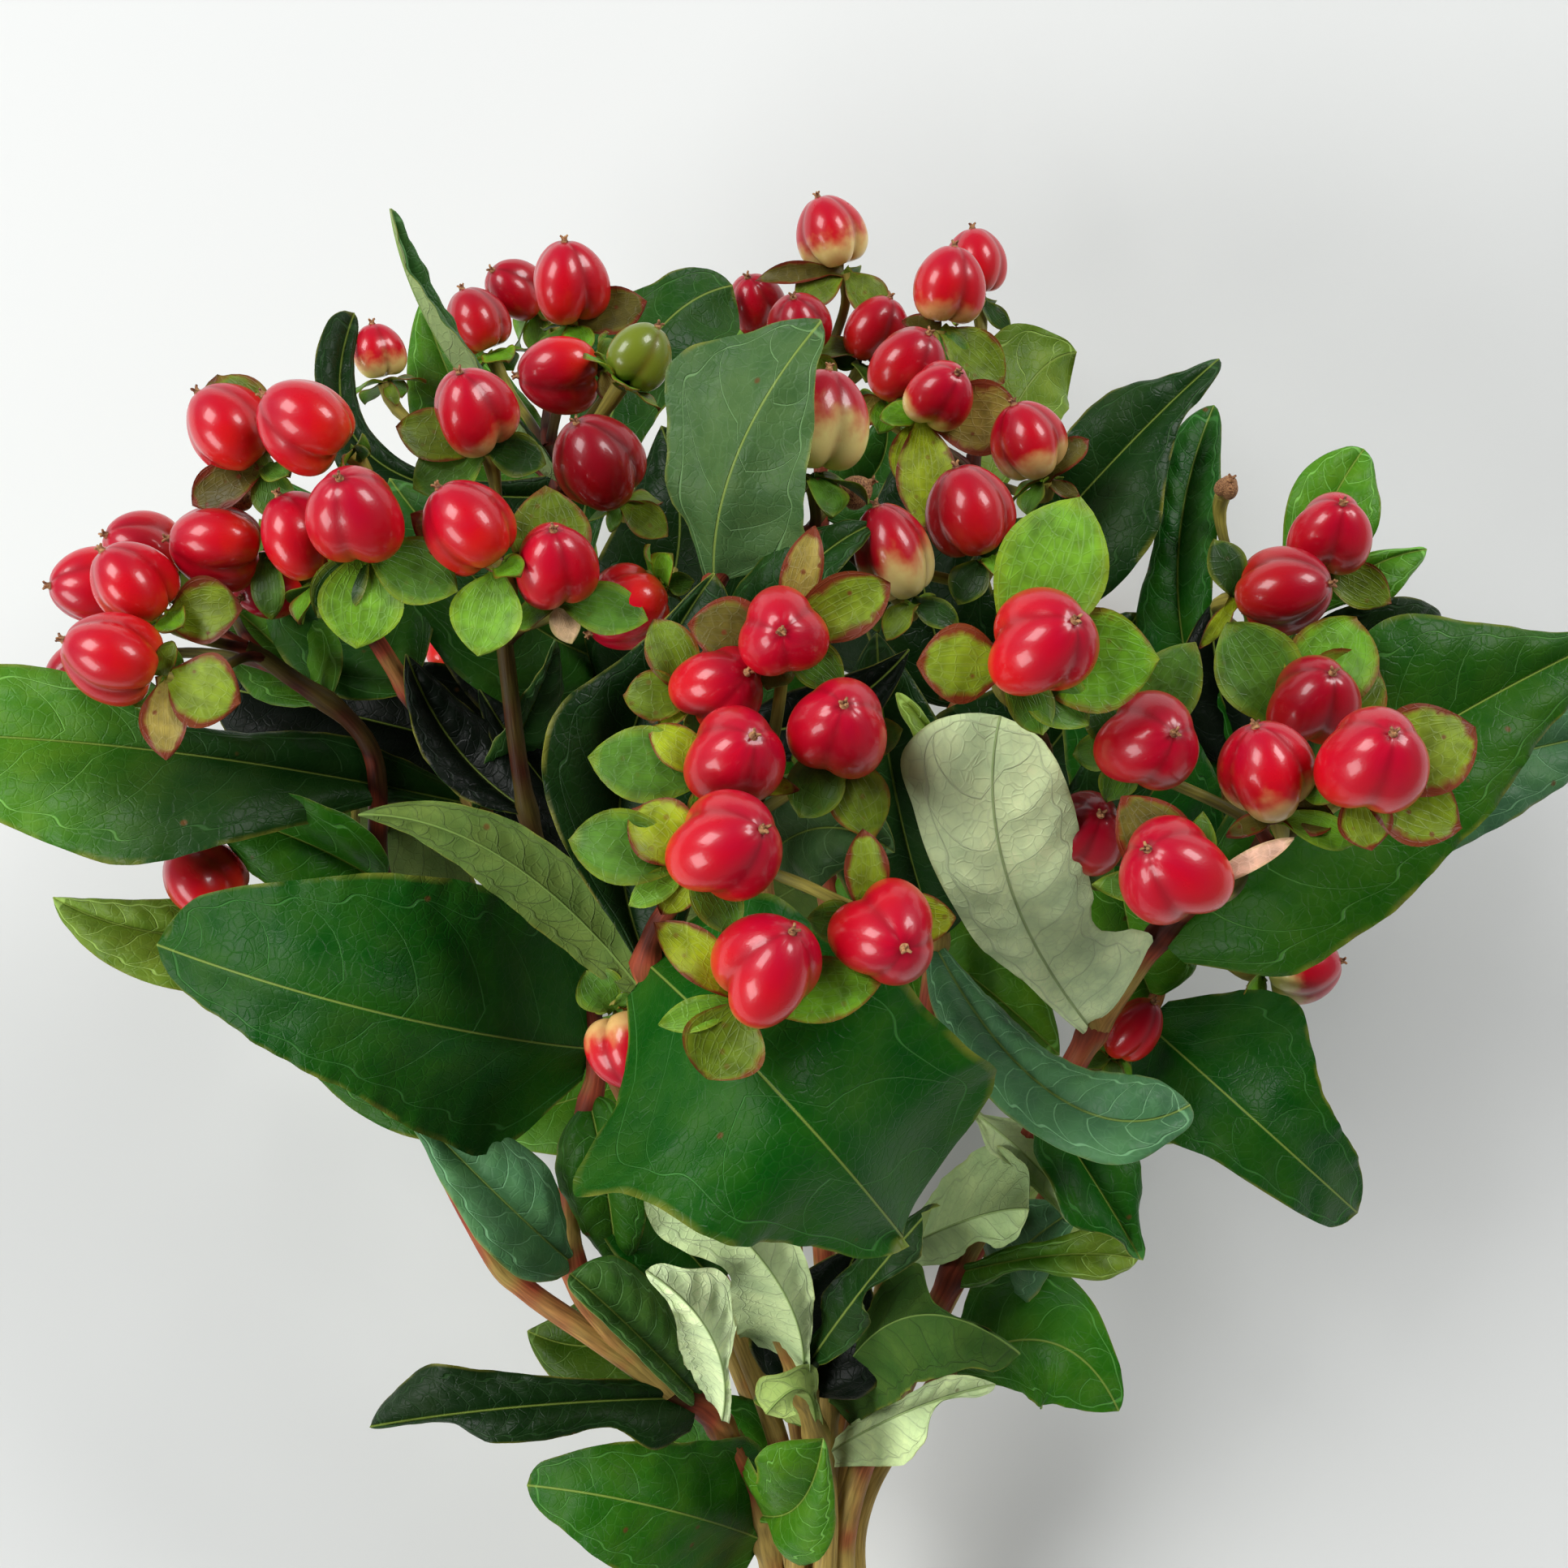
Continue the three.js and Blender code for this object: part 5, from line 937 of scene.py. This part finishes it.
stems["centre"] = dict(
    seat=("core", 90),
    trunk=((1018, 1850, 52), (1012, 1500, 74), (950, 1150, 92), (895, 850, 108), (880, 716, 119),
           (1000, 655, 117)),
    leaves=(
        leafAt("slate", (876, 716, 119), (908, 562, 137), (1012, 396, 138), 37, roll=(-18, -26),
               fold=(-10, -16), wave=0.8, left=(1.3, 4.1, 8.5, 11.2, 14.6, 17.5, 15.6, 10.3, 3.2),
               right=(1.8, 9, 13.1, 12.5, 11.4, 9.6, 7.1, 4.1, 1.5)),
        leafAt("dark", (897, 850, 108), (975, 722, 128), (1080, 645, 126), 13, roll=(-30, -30),
               fold=(14, 10)),
        leafAt("slate", (935, 1070, 95), (1010, 1020, 116), (1102, 1050, 120), 20, roll=(0, 10),
               fold=(12, 10)),
        leafAt("night", (905, 900, 105), (1020, 880, 108), (1120, 800, 112), 12, roll=(0, 10)),
        leafAt("night", (1040, 1728, 58), (1112, 1625, 102), (1256, 1668, 98), 23, roll=(150, 160),
               fold=(10, 14), left=(6, 8.6, 10.6, 10.7, 10.4, 10.1, 9, 6.2, 4.7),
               right=(4.4, 3.5, 2.6, 7.7, 10.4, 2.9, 0.6, 0.6, 0.6)),
        leafAt("pale", (1036, 1790, 55), (1120, 1738, 82), (1226, 1706, 86), 11, roll=(160, 165),
               fold=(14, 14), left=(2.7, 4.7, 6.7, 7.9, 6, 1.4, 0.6, 1.4, 1.1),
               right=(1.3, 2.7, 3.2, 2.7, 3, 4, 3.8, 2.7, 0.6)),
    ),
    heads=((
        berryAt((1101, 682, 124), (1077, 616), 30, 1.12, (1180, 770, "dark", 0.3),
                (1092, 790, "olive", 0.3), pale=0.6, slim=0.8, dark=0.45),
        berryAt((1012, 520, 124), (1022, 452), 0, 1.14, pale=0.8, slim=0.95,
                sepals=dict(spread=120, turn=10)),
        berryAt((1054, 605, 111), (1077, 592), 0, 0.4, kind="withered"),
        berryAt((1195, 631, 117), (1176, 570), 25, 1.06, (1180, 745, "dark", 0.36),
                (1262, 640, "dark", 0.2), dark=0.3),
    ),),
)
stems["topCentre"] = dict(
    seat=("ring", 290),
    trunk=((1034, 1850, 39), (1040, 1500, 48), (1020, 1100, 52), (1012, 750, 54), (1012, 470, 54)),
    leaves=(
        leafAt("dim", (1012, 630, 54), (1080, 580, 60), (1090, 500, 64), 16),
        leafAt("bright", (1020, 1100, 52), (1165, 1180, 59), (1305, 1300, 58), 30, fold=(6, 6)),
        leafAt("shade", (1014, 800, 54), (1060, 730, 68), (1090, 630, 72), 28),
    ),
    heads=((
        berryAt((1023, 288, 62), (1008, 244), 20, 1.0, (982, 374, "olive", 0.36), (1094, 388, "olive", 0.3),
                (930, 346, "umber", 0.12), pale=0.55),
        berryAt((930, 374, 50), (922, 345), 0, 0.85, sepals=dict(spread=100, turn=10)),
        berryAt((985, 402, 70), (978, 370), 20, 0.9, dark=0.5),
        berryAt((1079, 408, 64), (1096, 368), 0, 0.95, (1020, 440, "dark", 0.3), dark=0.35),
    ),),
)
stems["topRight"] = dict(
    seat=("core", 330),
    trunk=((1036, 1850, 47), (1106, 1500, 62), (1160, 1100, 72), (1185, 800, 76), (1200, 560, 79)),
    leaves=(
        leafAt("dark", (1186, 790, 76), (1352, 590, 90), (1502, 443, 88), 30, roll=(-10, -24),
               fold=(14, 10), left=(1.3, 0.6, 3.6, 6.1, 8.7, 9.5, 7.3, 2.9, 0.9),
               right=(6, 14, 15.6, 17.2, 15.8, 9.4, 4.6, 3.3, 1.6)),
        leafAt("lime", (1192, 690, 78), (1252, 500, 70), (1326, 434, 62), 26, roll=(20, 10),
               fold=(-10, -10), left=(1.4, 2.7, 4.4, 6.4, 8.6, 10.6, 9.8, 4.6, 0.6),
               right=(1.3, 2.1, 4.2, 6.7, 8.7, 9.3, 9.3, 9, 6.8)),
        leafAt("grey", (1150, 1170, 71), (1300, 1350, 112), (1466, 1362, 116), 18, roll=(-10, -14),
               fold=(6, 4), left=(1.3, 3, 4.5, 5, 6, 7, 7.4, 6.8, 4.5),
               right=(1.9, 5.8, 7, 7.6, 7.5, 7.2, 7.1, 4.2, 2.5)),
        leafAt("sage", (1112, 1545, 61), (1195, 1502, 92), (1268, 1490, 104), 20, roll=(165, 165),
               fold=(10, 14), left=(3.1, 4.4, 5.6, 5.2, 3.9, 5.8, 5.4, 3.7, 1.5),
               right=(1.3, 3.1, 7.9, 10.6, 12.5, 12.1, 9.8, 7.4, 0.7)),
        leafAt("pale", (1138, 1312, 64), (1262, 1422, 94), (1328, 1507, 98), 8, roll=(160, 160),
               fold=(10, 14), left=(1.3, 0.6, 0.6, 3.6, 3, 2.9, 2.6, 2, 1.5),
               right=(1.3, 0.6, 0.6, 4.9, 5, 1.7, 0.6, 0.6, 0.6)),
        leafAt("shade", (1183, 870, 75), (1135, 710, 82), (1120, 555, 82), 24),
        leafAt("dark", (1172, 1000, 73), (1270, 950, 82), (1402, 755, 82), 26,
               left=(5, 12, 17, 19, 18, 15, 11, 7, 3), right=(3, 7, 11, 13, 13, 12, 9, 6, 2)),
        leafAt("dark", (1160, 1150, 71), (1104, 980, 92), (1080, 780, 98), 27),
    ),
    heads=((
        berryAt((1168, 353, 80), (1176, 305), 0, 1.0, (1236, 472, "olive", 0.3), (1188, 458, "leaf", 0.3),
                (1112, 396, "umber", 0.25), pale=0.3),
        berryAt((1202, 324, 62), (1198, 282), 30, 0.9, (1245, 408, "dark", 0.2)),
        berryAt((1119, 452, 92), (1142, 414), 0, 1.0, (1048, 520, "rose", 0.34), dark=0.4),
        berryAt((1158, 486, 102), (1178, 462), 10, 0.85, (1112, 598, "lime", 0.3),
                (1142, 652, "lime", 0.26), (1262, 520, "rose", 0.36), pale=0.5),
        berryAt((1267, 544, 104), (1249, 498), 20, 0.95, (1342, 542, "umber", 0.24),
                (1330, 612, "umber", 0.2), pale=0.45, dark=0.2),
    ),),
)
stems["frontCentre"] = dict(
    seat=("ring", 90),
    trunk=((1018, 1850, 60), (985, 1700, 78), (915, 1540, 96), (840, 1350, 112), (797, 1187, 128),
           (850, 1085, 138), (925, 1005, 138)),
    leaves=(
        leafAt("deep", (830, 1195, 130), (962, 1350, 157), (1112, 1524, 132), 66, roll=(6, -4),
               fold=(-10, -10), wave=1.8, left=(6, 18.5, 19.8, 21, 22.9, 22.9, 23.9, 24.1, 5.9),
               right=(6, 16.7, 29.7, 24.5, 22.2, 20.1, 16.5, 10.8, 4.4)),
        leafAt("shade", (794, 1184, 128), (768, 950, 128), (880, 706, 131), 30, roll=(12, 16),
               fold=(22, 18), left=(1.3, 3.8, 7.8, 12, 15, 13.9, 6.7, 2.8, 0.7),
               right=(5.2, 10, 12, 13, 14, 14, 13, 9, 4)),
        leafAt("moss", (812, 1235, 122), (624, 1060, 127), (442, 1004, 121), 12, roll=(158, 170),
               fold=(-8, 20)),
        leafAt("pale", (985, 1705, 76), (955, 1575, 110), (800, 1436, 118), 19, roll=(172, 176),
               fold=(8, 14), wave=1, left=(1.3, 0.6, 2.3, 4.4, 6, 6.9, 7.3, 6, 3.7),
               right=(6, 11, 10.8, 9.8, 7.5, 5.6, 8.1, 8.7, 4.6)),
        leafAt("fresh", (1006, 1760, 67), (990, 1712, 88), (944, 1742, 92), 10, roll=(170, 170),
               left=(1.3, 0.6, 0.6, 1.9, 4.4, 3.2, 3.5, 4.8, 3),
               right=(6, 10.6, 10.6, 9.5, 4.9, 3.8, 4.1, 3.9, 2.9)),
        leafAt("dark", (985, 1698, 77), (1048, 1608, 101), (1147, 1490, 122), 16, roll=(-10, -24),
               fold=(-12, -10), wave=2, left=(3.6, 3.1, 2.6, 3.7, 4.8, 4.8, 4.7, 2.3, 1.7),
               right=(1.3, 0.8, 2.9, 4.3, 3.2, 1.3, 2.7, 2.8, 1.6)),
        leafAt("night", (985, 1715, 75), (1015, 1638, 80), (1058, 1535, 86), 25, fold=(8, 8)),
    ),
    heads=((
        berryAt((965, 781, 152), (963, 778), 40, 0.94, (850, 770, "umber", 0.34), (1003, 650, "rose", 0.18),
                (1096, 720, "blush", 0.28), (1038, 846, "leaf", 0.3)),
        berryAt((887, 845, 144), (922, 828), 10, 0.98, (806, 764, "olive", 0.3), (768, 856, "olive", 0.36),
                (812, 892, "lime", 0.25)),
        berryAt((1035, 896, 154), (1040, 868), 10, 1.02, (1078, 1030, "olive", 0.32),
                (984, 1008, "leaf", 0.36), (1112, 900, "leaf", 0.3)),
        berryAt((906, 931, 156), (929, 906), 30, 1.02, (728, 934, "leaf", 0.3), (800, 898, "lime", 0.26),
                (984, 974, "lime", 0.15)),
        berryAt((896, 1042, 170), (942, 1021), 25, 1.08, (779, 996, "lime", 0.42),
                (816, 1126, "lime", 0.34), (702, 1034, "leaf", 0.3), (774, 1116, "bright", 0.2),
                (905, 1150, "leaf", 0.3)),
        berryAt((947, 1191, 168), (979, 1145), 50, 1.06, (814, 1263, "bright", 0.2),
                (872, 1328, "olive", 0.5), (1082, 1212, "fresh", 0.24), (806, 1136, "lime", 0.2), pale=0.2),
        berryAt((1092, 1151, 164), (1114, 1168), 5, 1.04, (1064, 1022, "blush", 0.24),
                (1176, 1130, "lime", 0.3), (1032, 1208, "dry", 0.16)),
        berryAt((770, 1292, 124), (783, 1346), 0, 0.86, (722, 1196, "leaf", 0.5), (776, 1222, "leaf", 0.3),
                pale=0.4, root=(834, 1334, 113)),
    ),),
)
stems["rightFork"] = dict(
    seat=("ring", 50),
    trunk=((1048, 1850, 57), (1165, 1590, 75), (1290, 1370, 90), (1352, 1260, 99)),
    forks=(
        ((1435, 1145, 108), (1505, 1085, 117), (1562, 1045, 123)),
        ((1300, 1080, 113), (1286, 920, 128)),
    ),
    leaves=(
        leafAt("milky", (1352, 1275, 98), (1242, 1085, 134), (1232, 882, 144), 27, roll=(186, 190),
               fold=(-10, -8), left=(6, 16.7, 9.8, 11.3, 11.8, 11.7, 10.9, 8.9, 5.1),
               right=(1.5, 3, 4.6, 7.6, 8.9, 10.3, 11.5, 12.9, 5.7)),
        leafAt("mid", (1425, 1150, 107), (1700, 940, 115), (2012, 772, 108), 37, roll=(10, 8), fold=(8, 8),
               left=(1.3, 3.9, 8.4, 12.7, 16.5, 19.4, 11.6, 4.1, 0.9),
               right=(6, 17.8, 19.6, 19.9, 17.6, 15.1, 9.8, 5.8, 2.4)),
        leafAt("bright", (1182, 1575, 76), (1300, 1546, 92), (1402, 1550, 90), 10, roll=(14, 20),
               fold=(12, 10), end="lime", left=(1.3, 1.3, 2.3, 2.9, 2.9, 4.3, 6, 4.4, 1.6),
               right=(2.7, 3.3, 1.9, 2.3, 3.4, 4.2, 4.6, 3.2, 1.6)),
        leafAt("deep", (1290, 1370, 90), (1345, 1452, 100), (1404, 1552, 98), 20, roll=(-20, -30),
               fold=(14, 14), wave=1, left=(1.8, 4, 6.6, 9.1, 8.7, 7.2, 5.7, 2.6, 0.6),
               right=(3.8, 4.7, 7.1, 8.5, 9, 9, 4.5, 1.6, 0.7)),
        leafAt("dark", (1300, 1060, 114), (1392, 930, 122), (1462, 796, 118), 12, roll=(10, 10),
               fold=(12, 10)),
        leafAt("lime", (1318, 1140, 107), (1212, 992, 118), (1104, 854, 120), 11, roll=(30, 40),
               fold=(14, 10), left=(2.4, 4.2, 5.8, 6.4, 6.8, 6.4, 5.2, 3.2, 0.9),
               right=(2.1, 3.2, 4.5, 4.2, 3.8, 2.5, 0.9, 1.4, 1.1)),
    ),
    heads=((
        berryAt((1417, 915, 147), (1445, 904), 15, 1.06, (1470, 794, "leaf", 0.26),
                (1340, 860, "dark", 0.3), dark=0.25),
        berryAt((1560, 949, 146), (1546, 892), 10, 1.02, (1644, 1012, "umber", 0.36),
                (1668, 1042, "bright", 0.22), (1512, 1030, "umber", 0.2), pale=0.45),
        berryAt((1618, 864, 128), (1640, 832), 30, 1.04, (1672, 762, "fresh", 0.34),
                (1512, 770, "leaf", 0.34), (1700, 822, "olive", 0.4), dark=0.5),
        berryAt((1693, 936, 154), (1715, 906), 20, 1.1, (1814, 896, "blush", 0.36),
                (1798, 1018, "blush", 0.34), (1690, 1046, "blush", 0.4), root=(1562, 1045, 123)),
        berryAt((1445, 1072, 158), (1410, 1043), 45, 1.1, (1384, 984, "umber", 0.3),
                (1594, 1034, "pink", 0.1), (1420, 1136, "pink", 0.24), (1482, 1002, "leaf", 0.2),
                (1346, 1090, "leaf", 0.16)),
        berryAt((1336, 1026, 132), (1356, 1004), 10, 0.95, dark=0.6),
        berryAt((1396, 1268, 89), (1422, 1234), 0, 0.92, slim=0.72, sepals=dict(spread=120, length=7),
                root=(1290, 1370, 90)),
    ), (
        berryAt((1285, 792, 164), (1322, 766), 40, 1.08, (1328, 616, "bright", 0.31),
                (1424, 812, "fresh", 0.36), (1340, 892, "leaf", 0.3), (1132, 818, "blush", 0.42),
                (1284, 906, "leaf", 0.3)),
    )),
)
stems["rightUpper"] = dict(
    seat=("ring", 10),
    trunk=((1064, 1850, 50), (1196, 1640, 57), (1400, 1270, 68), (1500, 1020, 78), (1560, 810, 92)),
    leaves=(
        leafAt("deep", (1405, 1262, 68), (1540, 1375, 90), (1672, 1494, 72), 37, roll=(-8, -10),
               fold=(-12, -8), left=(6, 15.9, 20.6, 20.7, 17.5, 13.2, 10.1, 8.1, 3.8),
               right=(4.4, 12, 14, 12.5, 9.9, 8.8, 7.7, 6.5, 4.5)),
        leafAt("grey", (1484, 1060, 77), (1760, 958, 92), (2000, 900, 84), 27, roll=(10, 10)),
        leafAt("deep", (1520, 960, 80), (1452, 735, 84), (1496, 500, 76), 18, roll=(-10, -14),
               fold=(14, 10), left=(3, 6.2, 8.7, 8.5, 6.8, 4.5, 4.5, 5.3, 2.3),
               right=(2.4, 4.5, 4.7, 5.5, 6.5, 7, 6.7, 4.5, 1.7)),
        leafAt("shade", (1545, 885, 87), (1680, 796, 100), (1776, 766, 94), 17.6, roll=(20, 20),
               fold=(12, 10)),
        leafAt("bright", (1566, 800, 93), (1622, 655, 99), (1680, 554, 98), 13,
               left=(1.3, 1.2, 2.4, 3.9, 5.9, 6.9, 6.3, 4, 1.4),
               right=(1.3, 2.3, 4.8, 7.2, 8.6, 8.8, 7.1, 4.2, 1.6)),
        leafAt("bright", (1562, 806, 92), (1660, 716, 101), (1757, 677, 99), 9,
               left=(1.3, 2.5, 3.5, 3.7, 3.6, 2.6, 1.8, 0.8, 0.6),
               right=(1.3, 0.6, 1.3, 2.5, 4.1, 6.4, 5.2, 3.4, 1.3)),
        leafAt("fresh", (1170, 1690, 55), (1290, 1653, 76), (1378, 1738, 74), 30, roll=(10, 4),
               fold=(-10, -8), left=(1.3, 5.8, 12.4, 13.6, 12.9, 9.6, 6, 3.7, 1.2),
               right=(1.4, 6.5, 10.1, 11.8, 11.9, 11.6, 10.8, 8.3, 4.1)),
        leafAt("grey", (1235, 1575, 60), (1268, 1532, 74), (1330, 1488, 80), 17.6, roll=(-20, -20)),
        leafAt("deep", (1470, 1090, 75), (1390, 950, 92), (1330, 800, 98), 26, roll=(10, 20)),
        leafAt("bright", (1425, 1230, 69), (1390, 1140, 84), (1376, 1030, 88), 24),
        leafAt("night", (1528, 935, 83), (1503, 850, 87), (1492, 745, 88), 18),
    ),
    heads=((
        berryAt((1639, 657, 112), (1653, 624), 20, 0.98, (1712, 742, "olive", 0.28), pale=0.25),
        berryAt((1581, 728, 118), (1633, 720), 35, 1.06, (1496, 664, "dark", 0.3),
                (1478, 798, "lime", 0.14), dark=0.55),
        berryAt((1512, 600, 94), (1516, 592), 0, 0.3, kind="withered"),
    ),),
)
stems["underLeft"] = dict(
    seat=("ring", 210),
    trunk=((964, 1850, 43), (850, 1560, 46), (640, 1280, 52), (430, 1125, 60)),
    leaves=(
        leafAt("fresh", (950, 1830, 43), (880, 1790, 47), (790, 1770, 42), 24),
        leafAt("olive", (850, 1560, 46), (765, 1650, 60), (650, 1640, 60), 28),
        leafAt("mid", (640, 1280, 52), (520, 1320, 62), (330, 1240, 52), 26),
        leafAt("dim", (560, 1220, 56), (480, 1080, 42), (330, 960, 28), 26, roll=(170, 190),
               fold=(-10, -10)),
        leafAt("mid", (700, 1360, 50), (600, 1300, 34), (450, 1240, 20), 26, roll=(180, 200),
               fold=(-10, -10)),
        leafAt("lime", (440, 1130, 59), (236, 1154, 84), (66, 1106, 84), 18, roll=(10, 0), fold=(16, 12),
               lean=-0.2),
    ),
    heads=((
        berryAt((250, 1083, 99), (213, 1044), 20, 1.0, sepals=dict(spread=130)),
        berryAt((376, 950, 44), (330, 930), 10, 1.0, under=True),
        berryAt((470, 900, 22), (450, 880), 20, 1.0, under=True),
        berryAt((560, 800, 5.2), (560, 760), 0, 1.0, under=True, sepals=dict(spread=80)),
    ),),
)
stems["underCentre"] = dict(
    seat=("ring", 250),
    trunk=((996, 1850, 39), (975, 1500, 34), (940, 1200, 32), (930, 960, 30)),
    leaves=(
        leafAt("mid", (975, 1500, 34), (860, 1400, 20), (740, 1300, 14), 26, roll=(180, 190),
               fold=(-10, -10)),
        leafAt("mid", (965, 1410, 34), (1070, 1370, 20), (1180, 1290, 14), 26, roll=(180, 170),
               fold=(-10, -10)),
        leafAt("mid", (940, 1200, 32), (850, 1080, 16), (760, 960, 10), 28, roll=(180, 180),
               fold=(-10, -10)),
        leafAt("moss", (935, 1120, 31), (1040, 1050, 14), (1120, 960, 8), 28, roll=(180, 180),
               fold=(-10, -10)),
        leafAt("mid", (930, 1000, 30), (930, 800, 40), (880, 640, 44), 24),
    ),
    heads=((
        berryAt((860, 800, 14), (850, 770), 0, 1.0, under=True),
        berryAt((960, 760, 10), (965, 720), 10, 1.05, under=True),
    ),),
)
stems["underRight"] = dict(
    seat=("ring", 330),
    trunk=((1056, 1850, 43), (1200, 1540, 44), (1340, 1310, 50), (1450, 1150, 56)),
    leaves=(
        leafAt("mid", (1210, 1540, 44), (1280, 1460, 32), (1360, 1360, 20), 26, roll=(180, 180),
               fold=(-10, -10)),
        leafAt("mid", (1340, 1310, 50), (1450, 1330, 40), (1560, 1320, 28), 26, roll=(180, 180),
               fold=(-10, -10)),
        leafAt("mid", (1372, 1262, 51), (1310, 1110, 40), (1290, 950, 28), 26, roll=(180, 170),
               fold=(-10, -10)),
        leafAt("mid", (1450, 1150, 56), (1600, 1080, 52), (1760, 960, 44), 27, roll=(180, 180),
               fold=(-10, -10)),
    ),
    heads=((
        berryAt((1604, 1192, 72), (1652, 1184), 20, 1.0, pale=0.6),
        berryAt((1440, 880, 20), (1460, 850), 20, 1.0, under=True),
        berryAt((1330, 800, 5.2), (1335, 760), 0, 1.0, under=True, sepals=dict(spread=80)),
    ),),
)


def buildStem(name, stem):
    leaves, berries, sepals, stalks = (Surface() for _ in range(4))
    points = stemLine(stem)
    trunk, trunkShares = curveThrough(points, stalk["lineMm"])
    forks = [curveThrough([points[-1], *map(place, fork)], stalk["lineMm"])
             for fork in stem.get("forks", ())]
    lines = [trunk] + [line for line, _ in forks]
    roots = [nearestOn(lines, place(leaf["base"]))[0] for leaf in stem["leaves"]]
    end = stalk["fork" if forks else "head"]
    addStalk(stalks, trunk, trunkShares, stalk["foot"], end, roots, stalk["ripeAndShadeTrunk"])
    for line, shares in forks:
        addStalk(stalks, line, shares, stalk["fork"], stalk["head"], roots, stalk["ripeAndShadeFork"])
    for leaf, root in zip(stem["leaves"], roots):
        addLeaf(leaves, leaf, root)
    for top, head in zip(lines[1:] or lines, stem["heads"]):
        for order, berry in enumerate(head):
            pose = berryPose(berry)
            isLow = "root" in berry
            start, heading = nearestOn(lines, place(berry["root"])) if isLow else backFromTop(top, order)
            addTwig(stalks, start, heading, pose)
            addBerry(berries, berry, pose)
            if berry.get("kind") != "withered":
                addSepals(sepals, berry, pose)
    node = "stem_" + name
    leaves.finish(name + "-leaves", node, "leaf", [leafUpper, leafUnder], 60)
    berries.finish(name + "-berries", node, "berry", [berrySkin, driedTissue])
    sepals.finish(name + "-sepals", node, "sepal", [sepalSkin], 60)
    stalks.finish(name + "-stalks", node, "stalk", [bark, cutWood], 50)
    return sum(len(face) - 2 for part in (leaves, berries, sepals, stalks) for face in part.faces)


total = 0
for name, stem in stems.items():
    total += buildStem(name, stem)
    print("stem", name, "made,", total, "triangles so far")


# The rubber band, wound round the stems: sizes in mm.
band = dict(inner=10.9, thick=1.3, wide=1.9, turns=3, pitch=2.2, crossing=0.12, climb=1.2, roundness=0.6,
            rows=300, columns=12)


def buildBand():
    rows = np.arange(band["rows"]) / band["rows"]
    angle = rows * band["turns"] * 2 * math.pi
    back = smooth(1 - band["crossing"], 1, rows)  # the last stretch passes back over the other turns
    wound = np.minimum(rows / (1 - band["crossing"]), 1) - back - 0.5
    along = band["pitch"] * (band["turns"] - 1) * wound
    reach = band["inner"] + band["thick"] / 2 + band["climb"] * np.sin(math.pi * back)
    slope = math.radians(bundle["slope"])
    ahead = np.array([0, math.cos(slope), math.sin(slope)])
    side, rise = np.array([1.0, 0, 0]), np.array([0, -math.sin(slope), math.cos(slope)])
    out = np.cos(angle)[:, None] * side + np.sin(angle)[:, None] * rise
    line = bandPlace + out * reach[:, None] + along[:, None] * ahead
    turn = around(band["columns"])
    flat, wide = (np.sign(part) * np.abs(part) ** band["roundness"] * size / 2
                  for part, size in ((np.cos(turn), band["thick"]), (np.sin(turn), band["wide"])))
    rings = line[:, None] + flat[None, :, None] * out[:, None] + wide[None, :, None] * ahead
    surface = Surface()
    surface.skin(rings, isLoop=True, skin=rings)
    surface.finish("rubber-band", "rubber_band", "band", [rubber], 50)


buildBand()
print("rubber band made")


# Painted studio board: a plain matt paint. It gives an even pale grey with the faintest cloud.
floorFinish = dict(stops=[(0.3, "#d5d7d6"), (0.7, "#dadcda")], cloudM=0.5, rough=0.9, halfM=6)
room = dict(stops=[(0.3, "#ffffff"), (0.9, "#5a5a5a")], strength=0.24)  # from the horizon to overhead
lamps = [  # place, size and power of each soft box, in metres and watts
    dict(name="window left", at=(-1.25, 1.0, 1.55), size=(1.0, 0.9), power=33),
    dict(name="window right", at=(1.2, 1.2, 1.2), size=(0.8, 0.7), power=25),
    dict(name="room", at=(-1.4, -0.7, 1.2), size=(1.1, 0.8), power=25),
]
cameraLens = dict(lens=40, sensor_width=36, clip_start=0.01)


def buildFloor():
    f = floorFinish
    mesh = bpy.data.meshes.new("floor")
    corners = [(x * f["halfM"], y * f["halfM"], 0) for x, y in ((-1, -1), (1, -1), (1, 1), (-1, 1))]
    mesh.from_pydata(corners, [], [(0, 1, 2, 3)])
    material, add = newMaterial("matt painted board", (), Roughness=f["rough"], IOR=1.4)
    spot = add("TexCoord", {}, "Object")
    cloud = add("TexNoise", {"Vector": spot, "Scale": 1 / f["cloudM"], "Detail": 1.0}, "Fac")
    mesh.materials.append(finishMaterial(material, add("ValToRGB", [cloud], stops=f["stops"])))
    addToScene("floor", mesh)


def buildLight():
    world = bpy.data.worlds.new("soft room")
    world.use_nodes = True
    tree = world.node_tree
    background = tree.nodes["Background"]
    background.inputs["Strength"].default_value = room["strength"]
    spread = addNode(tree, "TexCoord", {}, "Generated")
    rise = addNode(tree, "SeparateXYZ", [spread], "Z")
    tree.links.new(addNode(tree, "ValToRGB", [rise], stops=room["stops"]), background.inputs["Color"])
    bpy.context.scene.world = world
    aim = Vector((0.0, shift[1], 0.08))
    for lamp in lamps:
        light = bpy.data.lights.new(lamp["name"], "AREA")
        light.shape = "RECTANGLE"
        light.size, light.size_y = lamp["size"]
        light.energy = lamp["power"]
        item = addToScene(lamp["name"], light)
        item.location = lamp["at"]
        item.rotation_euler = (aim - Vector(lamp["at"])).to_track_quat("-Z", "Y").to_euler()


buildFloor()
buildLight()

camera = bpy.data.cameras.new("camera over the bunch")
for key, value in cameraLens.items():
    setattr(camera, key, value)
camera.dof.use_dof = False
watcher = addToScene("camera over the bunch", camera)
watcher.location = (eye / 1000 + shift).tolist()
bpy.context.scene.camera = watcher
bpy.context.scene.view_settings.view_transform = "Standard"
print("floor, light and camera ready")
